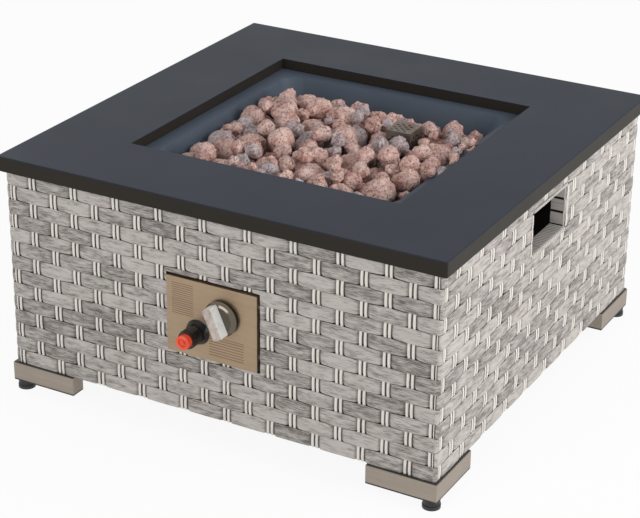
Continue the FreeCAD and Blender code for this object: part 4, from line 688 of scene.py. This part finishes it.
def open_wall_holes(piece, gap):
    """The openings for the panel, with a gap round it, and the two hands."""
    left, right = PANEL_LOW.x - gap, PANEL_HIGH.x + gap
    low, high = PANEL_LOW.z - gap, PANEL_HIGH.z + gap
    cuts = [((left, 0, 0), (1, 0, 0)), ((right, 0, 0), (1, 0, 0))]
    cuts += [((0, 0, low), (0, 0, 1)), ((0, 0, high), (0, 0, 1))]
    open_hole(piece, (left, -WALL_OUT, low), (right, -WALL_IN, high), cuts)
    for side in (-1, 1):
        near, far = sorted((side * WALL_IN, side * WALL_OUT))
        cuts = [((0, -HAND_HALF, 0), (0, 1, 0)), ((0, HAND_HALF, 0), (0, 1, 0))]
        cuts += [((0, 0, HAND_LOW), (0, 0, 1)), ((0, 0, HAND_HIGH), (0, 0, 1))]
        open_hole(piece, (near, -HAND_HALF, HAND_LOW), (far, HAND_HALF, HAND_HIGH), cuts)


class FIREPIT_OT_weave(bpy.types.Operator):
    """Weave the four walls from flat weavers and pairs of stakes"""

    bl_idname = "firepit.weave"
    bl_label = "Weave"

    def execute(self, context):
        weave = context.scene.firepit_weave
        dark = tuple(weave.weaver_dark)
        grey = woven_strand("wicker_weaver", tuple(weave.weaver), dark, (2.6, 15, 1), 0.39, 0.56)
        light = tuple(weave.stake)
        cream = woven_strand("wicker_stake", light, shade(light, 0.55), (3, 5, 1), 0.22, 0.50)
        weavers = weaver_rows(weave)
        stakes = stake_pairs(weave)
        strands = ((weavers, weave.thickness, grey), (stakes, STAKE_THICKNESS, cream))
        for piece, thickness, material in strands:
            merge_close(piece, SEAM)
            open_wall_holes(piece, PANEL_GAP)
            finish_modifier(piece, "SOLIDIFY", thickness=thickness, offset=-1)
            dressed(piece, material, smooth=50)
        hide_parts(*WALLS)
        # A dark sheet of painted shade behind the strands.
        shade_sheet_behind_weave(weave)
        pale = woven_strand("wicker_wrap", shade(weave.weaver, 1.3), dark, (1.1, 24, 1), 0.2, 0.5)
        wrap_hand_holes(pale)
        return {"FINISHED"}


WRAP_LAP, WRAP_DEPTH, WRAP_BEND, WRAP_THICKNESS = 0.006, 0.024, 0.003, 0.001
WRAP_PUFF, WRAP_DROOP = 0.0002, 0.0040
WRAP_MAP = 0.022
# Painted shade at the edges of each wrap strand: the edge band, the width that sets its strength, and its
# most.
SHADED_EDGE, SHADE_WIDTH, MOST_SHADE = 0.0006, 0.0036, 0.7
BEND_STEPS = 4
SIDE_WRAPS, SIDE_WRAP_WIDTH = 3, 0.0211
SILL_WRAPS, SILL_WRAP_WIDTH = 22, 0.0051


def hash_of(place):
    """A steady number between 0 and 1 for a place."""
    return abs(math.sin(place[0] * 91.7 + place[1] * 47.3 + place[2] * 73.9)) % 1.0


def wrap(start, run, width_way, width):
    """A flat strand folded round the edge of a hand hole, from the face into the wall."""
    outward = Vector((math.copysign(1, start[0]), 0, 0))
    run = Vector(run)
    start = Vector(start)
    line = [start - run * WRAP_LAP, start - run * WRAP_BEND]
    for step in range(1, BEND_STEPS + 1):
        angle = step * math.pi / 2 / BEND_STEPS
        back = WRAP_BEND * (1 - math.sin(angle))
        inward = WRAP_BEND * (1 - math.cos(angle))
        line.append(start - run * back - outward * inward)
    line.append(start - outward * WRAP_DEPTH)
    shifts = np.array([-0.5, -0.41, 0.0, 0.41, 0.5])
    sheet = sheet_of(len(line), len(shifts))
    column, band = grid_corners(sheet, len(line), len(shifts))
    points = []
    for at, side in zip(column, band):
        normal = outward if at < 2 else run
        puff = WRAP_PUFF - WRAP_DROOP * shifts[side] ** 2
        points.append(line[at] + Vector(width_way) * width * shifts[side] + normal * puff)
    chance = hash_of(start)
    # Painted shade between neighbouring wraps: the corners at each edge of a strand are darkened.
    at_edge = np.abs(shifts[band]) * width > width / 2 - SHADED_EDGE
    painted_shade = np.where(at_edge, min(MOST_SHADE, SHADE_WIDTH / width), 0.0)
    map_across = shifts[band] * width / WRAP_MAP + chance * 9
    piece = moved_copy(sheet, points, column * 0.4, map_across, (chance - 0.5) * 2, painted_shade)
    bpy.data.objects.remove(sheet)
    return piece


def shade_sheet_behind_weave(weave):
    """Painted shade: a dark sheet just behind the strands, which darkens what is seen through the gaps and
    the holes.
    """
    steps = stake_steps()
    levels = np.linspace(WALL_HIGH.z, WALL_LOW.z + SHADE_SHEET_LIFT, SHADE_SHEET_LEVELS)
    sheet = sheet_of(len(steps), len(levels))
    column, level = grid_corners(sheet, len(steps), len(levels))
    x, y = ring_points(steps[column], SHADE_SHEET_DEPTH, weave)
    points = np.stack([x, y, levels[level]], 1)
    piece = moved_copy(sheet, points, steps[column], levels[level], 0.0, 1.0)
    bpy.data.objects.remove(sheet)
    piece.name = "wall_dark"
    merge_close(piece, SEAM)
    open_wall_holes(piece, SHADE_SHEET_GAP)
    finish_modifier(piece, "SOLIDIFY", thickness=SHADE_SHEET_THICKNESS, offset=0)
    dressed(piece, coated("shade_sheet_coat", (0.022, 0.019, 0.017), 0.85), smooth=30)


def wrap_hand_holes(pale):
    """Strands folded round the sides, the sill and the top of both hand holes."""
    strands = []
    for side in (-1, 1):
        x = side * SIDE / 2
        for end in (-1, 1):
            for step in range(SIDE_WRAPS):
                z = HAND_LOW + (step + 0.5) * (HAND_HIGH - HAND_LOW) / SIDE_WRAPS
                strands.append(wrap((x, end * HAND_HALF, z), (0, -end, 0), (0, 0, 1), SIDE_WRAP_WIDTH))
        for step in range(SILL_WRAPS):
            y = -HAND_HALF + (step + 0.5) * HAND_HALF * 2 / SILL_WRAPS
            for z, way in ((HAND_LOW, 1), (HAND_HIGH, -1)):
                strands.append(wrap((x, y, z), (0, 0, way), (0, 1, 0), SILL_WRAP_WIDTH))
    piece = joined("hand_hole_wraps", strands)
    finish_modifier(piece, "SOLIDIFY", thickness=WRAP_THICKNESS, offset=0)
    dressed(piece, pale, smooth=50)


# The stones

PAN_FLOOR = 0.2966
STONE_SWELL, MOST_SWELL = 0.0017, 0.0026
BROAD_LUMPS, SMALL_LUMPS, FOLDS, PORES = 46, 120, 84, 330
STONE_SEAM = 0.00001


def lumpiness(place):
    """Height of the lumps at a place: broad and small swells with folds between them."""
    swells = noise.noise(place * BROAD_LUMPS) * 0.5 + noise.noise(place * SMALL_LUMPS) * 0.35
    return swells + 0.14 - abs(noise.noise(place * FOLDS)) * 0.7


def porous_stones(name, node, material, stones):
    """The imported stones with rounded, lumpy, porous skins."""
    piece = NODES[node].copy()
    piece.data = NODES[node].data.copy()
    piece.parent = None
    piece.name = name
    for key in list(piece.keys()):
        del piece[key]
    bpy.context.collection.objects.link(piece)
    merge_close(piece, STONE_SEAM)
    finish_modifier(piece, "SUBSURF", levels=1, render_levels=1)
    finish_modifier(piece, "SUBSURF", levels=1, render_levels=1, subdivision_type="SIMPLE")
    mesh = piece.data
    top = max(vertex.co.z for vertex in NODES[node].data.vertices)
    places = np.empty(len(mesh.vertices) * 3)
    outward = np.empty(len(mesh.vertices) * 3)
    mesh.vertices.foreach_get("co", places)
    mesh.vertices.foreach_get("normal", outward)
    places = places.reshape(-1, 3)
    lumps = np.array([lumpiness(place) for place in places])
    pores = np.array([noise.noise(place * PORES) for place in places])
    swell = np.minimum(STONE_SWELL + stones.lump * lumps, MOST_SWELL) + stones.pore * pores
    places += outward.reshape(-1, 3) * swell[:, None]
    places[:, 2] = np.clip(places[:, 2], PAN_FLOOR, top)
    mesh.vertices.foreach_set("co", places.ravel())
    mesh.update()
    dressed(piece, material, smooth=60)
    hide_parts(node)


class FIREPIT_OT_stones(bpy.types.Operator):
    """Give the heap of lava stones its porous skins"""

    bl_idname = "firepit.stones"
    bl_label = "Lava stones"

    def execute(self, context):
        stones = context.scene.firepit_stones
        porous_stones("stones_red", "lava_rocks_red", lava("lava_red", tuple(stones.red)), stones)
        porous_stones("stones_grey", "lava_rocks_grey", lava("lava_grey", tuple(stones.grey)), stones)
        return {"FINISHED"}


# Finishes of the CAD nodes

TOP_SKIN = 0.0012
CORNERS = ("front_left", "front_right", "back_right", "back_left")


def at_corners(name):
    """The names of one foot piece at the four corners."""
    return " ".join(f"{name}_{corner}" for corner in CORNERS)


PLASTIC = "leg_base_plates leg_pads igniter_nut igniter_module " + at_corners("foot_pad")
BRASS = "valve_body valve_plug gas_inlet jet_elbow"
ZINC = (
    "pan_screws tabletop_screws foot_nuts leg_bolts panel_screws panel_spacers valve_stem stem_spring "
    "valve_screws igniter_spring burner_nut hose_nuts " + at_corners("foot_stud")
)
BURNER = "burner_ring air_mixer pilot_guard pilot_bracket electrode_wire thermocouple"


class FIREPIT_OT_finishes(bpy.types.Operator):
    """Give every CAD part its finish"""

    bl_idname = "firepit.finishes"
    bl_label = "Finishes"

    def execute(self, context):
        look = context.scene.firepit_finish
        cap_low, cap_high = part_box("igniter_button")
        cap_middle = (cap_low + cap_high) / 2
        grip_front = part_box("knob_grip")[0].y
        # The tabletop's upright edge, below its top skin, gets a painted tone for the light on it.
        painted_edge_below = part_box("tabletop")[1].z - TOP_SKIN
        wall_black = coated("wall_dark", (0.05, 0.048, 0.045), 0.8)
        groups = (
            (coated("top_coat", tuple(look.top), 0.44, tuple(look.edge), painted_edge_below), "tabletop"),
            (coated("pan_coat", tuple(look.pan), 0.46), "fire_pan"),
            (
                coated("frame_coat", tuple(look.frame_coat), 0.55),
                "corner_posts top_rails bottom_rails handle_uprights handle_sills panel_uprights",
            ),
            (brushed("leg_metal", tuple(look.leg), 0.45, (10, 10, 700), 0.65), "corner_legs"),
            (moulded("black_plastic", (0.015, 0.015, 0.016), 0.4), PLASTIC),
            (ruled_panel("panel_metal", tuple(look.panel)), "control_panel"),
            (brushed("skirt_polish", (0.135, 0.118, 0.095), 0.10, (40, 40, 40), 1.0, 0.05), "knob_skirt"),
            # The second colour is the painted reflection on the grip bar's front.
            (grip_finish("grip_satin", (0.93, 0.94, 0.93), (0.43, 0.37, 0.33), grip_front), "knob_grip"),
            (moulded("igniter_black", (0.012, 0.012, 0.014), 0.22), "igniter_body"),
            (ringed_cap("igniter_red", tuple(look.red_cap), cap_middle), "igniter_button"),
            (cast("valve_brass", (0.78, 0.57, 0.27), 0.3, (0.42, 0.27, 0.12)), BRASS),
            (cast("zinc_plate", (0.62, 0.62, 0.62), 0.33, (0.38, 0.38, 0.37)), ZINC),
            (cast("burner_metal", (0.17, 0.152, 0.135), 0.5, (0.13, 0.09, 0.065)), BURNER),
            (moulded("hose_rubber", (0.02, 0.02, 0.02), 0.6, 300.0, 0.0003), "burner_hose"),
            (cast("lead_copper", (0.75, 0.38, 0.22), 0.35, (0.33, 0.17, 0.1)), "thermocouple_lead"),
            (moulded("lead_sleeve", (0.55, 0.53, 0.48), 0.6), "ignition_lead"),
            (moulded("ceramic", (0.83, 0.81, 0.76), 0.3), "electrode_ceramic"),
            (moulded("cell_shell", (0.25, 0.27, 0.3), 0.35), "igniter_battery"),
            (wall_black, " ".join(WALLS) + " lava_rocks_red lava_rocks_grey"),
        )
        for material, names in groups:
            for name in names.split():
                dress_node(name, material)
        plain = set(NODES) - {name for _, names in groups for name in names.split()}
        if plain:
            raise RuntimeError(f"nodes without a finish: {sorted(plain)}")
        return {"FINISHED"}


# The studio

LAMPS = (
    ("key_right", (3.4, 0.2, 1.5), 2.2, 97),
    ("fill_front", (-0.6, -3.6, 1.5), 2.2, 54),
    ("side_soft", (-3.2, 1.4, 1.6), 2.0, 14),
)
LAMP_TARGET = Vector((0, 0, 0.2))
SOFT_LIGHT = 0.42
FLOOR_GLOW = 0.92
FLOOR_DROP = 0.0005


def lamp(name, place, size, power):
    """A square soft lamp that faces the table."""
    light = bpy.data.lights.new(name, "AREA")
    light.shape = "SQUARE"
    light.size = size
    light.energy = power
    holder = bpy.data.objects.new(name, light)
    holder.location = place
    holder.rotation_euler = (LAMP_TARGET - Vector(place)).to_track_quat("-Z", "Y").to_euler()
    bpy.context.collection.objects.link(holder)


def seen_ray(nodes, links):
    """One for the rays that show a surface: straight, mirrored or through glass."""
    path = nodes.new("ShaderNodeLightPath")
    value = path.outputs["Is Camera Ray"]
    for kind in ("Is Glossy Ray", "Is Transmission Ray"):
        both = nodes.new("ShaderNodeMath")
        both.operation = "MAXIMUM"
        links.new(value, both.inputs[0])
        links.new(path.outputs[kind], both.inputs[1])
        value = both.outputs[0]
    return value


def studio_world():
    """An even soft world, white where it is seen or mirrored."""
    world = bpy.data.worlds.new("studio")
    bpy.context.scene.world = world
    world.use_nodes = True
    nodes = world.node_tree.nodes
    links = world.node_tree.links
    nodes.clear()
    out = nodes.new("ShaderNodeOutputWorld")
    soft = nodes.new("ShaderNodeBackground")
    soft.inputs["Color"].default_value = (1, 1, 1, 1)
    soft.inputs["Strength"].default_value = SOFT_LIGHT
    white = nodes.new("ShaderNodeBackground")
    white.inputs["Color"].default_value = (1, 1, 1, 1)
    white.inputs["Strength"].default_value = 1.0
    pick = nodes.new("ShaderNodeMixShader")
    links.new(seen_ray(nodes, links), pick.inputs[0])
    links.new(soft.outputs[0], pick.inputs[1])
    links.new(white.outputs[0], pick.inputs[2])
    links.new(pick.outputs[0], out.inputs["Surface"])


def floor_material():
    """A white floor that keeps the shadow faint: white to the camera, pale to the light."""
    material = bpy.data.materials.new("studio_floor")
    material.use_nodes = True
    nodes = material.node_tree.nodes
    links = material.node_tree.links
    shader = nodes["Principled BSDF"]
    shader.inputs["Base Color"].default_value = (0.9, 0.9, 0.9, 1)
    shader.inputs["Roughness"].default_value = 0.9
    out = nodes["Material Output"]
    glow = nodes.new("ShaderNodeEmission")
    glow.inputs["Color"].default_value = (1, 1, 1, 1)
    glow.inputs["Strength"].default_value = 1.0
    pale = nodes.new("ShaderNodeMixShader")
    pale.inputs[0].default_value = FLOOR_GLOW
    links.new(shader.outputs[0], pale.inputs[1])
    links.new(glow.outputs[0], pale.inputs[2])
    pick = nodes.new("ShaderNodeMixShader")
    links.new(seen_ray(nodes, links), pick.inputs[0])
    links.new(shader.outputs[0], pick.inputs[1])
    links.new(pale.outputs[0], pick.inputs[2])
    links.new(pick.outputs[0], out.inputs["Surface"])
    return material


class FIREPIT_OT_studio(bpy.types.Operator):
    """Set the floor, the soft lights and the camera"""

    bl_idname = "firepit.studio"
    bl_label = "Studio"

    def execute(self, context):
        studio = context.scene.firepit_studio
        deselect()
        bpy.ops.mesh.primitive_plane_add(size=studio.floor, location=(0, 0, -FLOOR_DROP))
        floor = context.object
        floor.name = "studio_floor"
        floor.data.materials.append(floor_material())
        bpy.ops.object.transform_apply(location=True)
        studio_world()
        for values in LAMPS:
            lamp(*values)
        yaw = math.radians(studio.yaw)
        pitch = math.radians(studio.pitch)
        roll = math.radians(studio.roll)
        forward = Vector((math.sin(yaw) * math.cos(pitch), math.cos(yaw) * math.cos(pitch), math.sin(pitch)))
        right = Vector((math.cos(yaw), -math.sin(yaw), 0))
        up = right.cross(forward)
        across = right * math.cos(roll) + up * math.sin(roll)
        upright = up * math.cos(roll) - right * math.sin(roll)
        eye = bpy.data.cameras.new("camera")
        eye.lens = studio.lens
        eye.sensor_width = 36
        camera = bpy.data.objects.new("camera", eye)
        turned = Matrix((across, upright, -forward)).transposed()
        camera.matrix_world = Matrix.Translation(Vector(studio.eye)) @ turned.to_4x4()
        context.collection.objects.link(camera)
        context.scene.camera = camera
        context.scene.view_settings.view_transform = "Standard"
        return {"FINISHED"}


class FIREPIT_PT_panel(bpy.types.Panel):
    """The steps of the fire pit table in the sidebar"""

    bl_idname = "FIREPIT_PT_panel"
    bl_label = "Fire Pit Table"
    bl_space_type = "VIEW_3D"
    bl_region_type = "UI"
    bl_category = "Fire Pit"

    def draw(self, context):
        for step in STEPS:
            self.layout.operator(step.bl_idname)


STEPS = (FIREPIT_OT_studio, FIREPIT_OT_finishes, FIREPIT_OT_weave, FIREPIT_OT_stones)
SETTINGS = {
    "firepit_weave": WeaveSettings,
    "firepit_stones": StoneSettings,
    "firepit_finish": FinishSettings,
    "firepit_studio": StudioSettings,
}


def register():
    """Adds the settings, the steps and the panel."""
    for name, group in SETTINGS.items():
        bpy.utils.register_class(group)
        setattr(bpy.types.Scene, name, bpy.props.PointerProperty(type=group))
    for kind in STEPS:
        bpy.utils.register_class(kind)
    bpy.utils.register_class(FIREPIT_PT_panel)


def unregister():
    """Takes them away again."""
    bpy.utils.unregister_class(FIREPIT_PT_panel)
    for kind in reversed(STEPS):
        bpy.utils.unregister_class(kind)
    for name, group in SETTINGS.items():
        delattr(bpy.types.Scene, name)
        bpy.utils.unregister_class(group)


def main():
    """Runs every step in order."""
    register()
    bpy.ops.firepit.studio()
    bpy.ops.firepit.finishes()
    bpy.ops.firepit.weave()
    bpy.ops.firepit.stones()


if __name__ == "__main__":
    main()
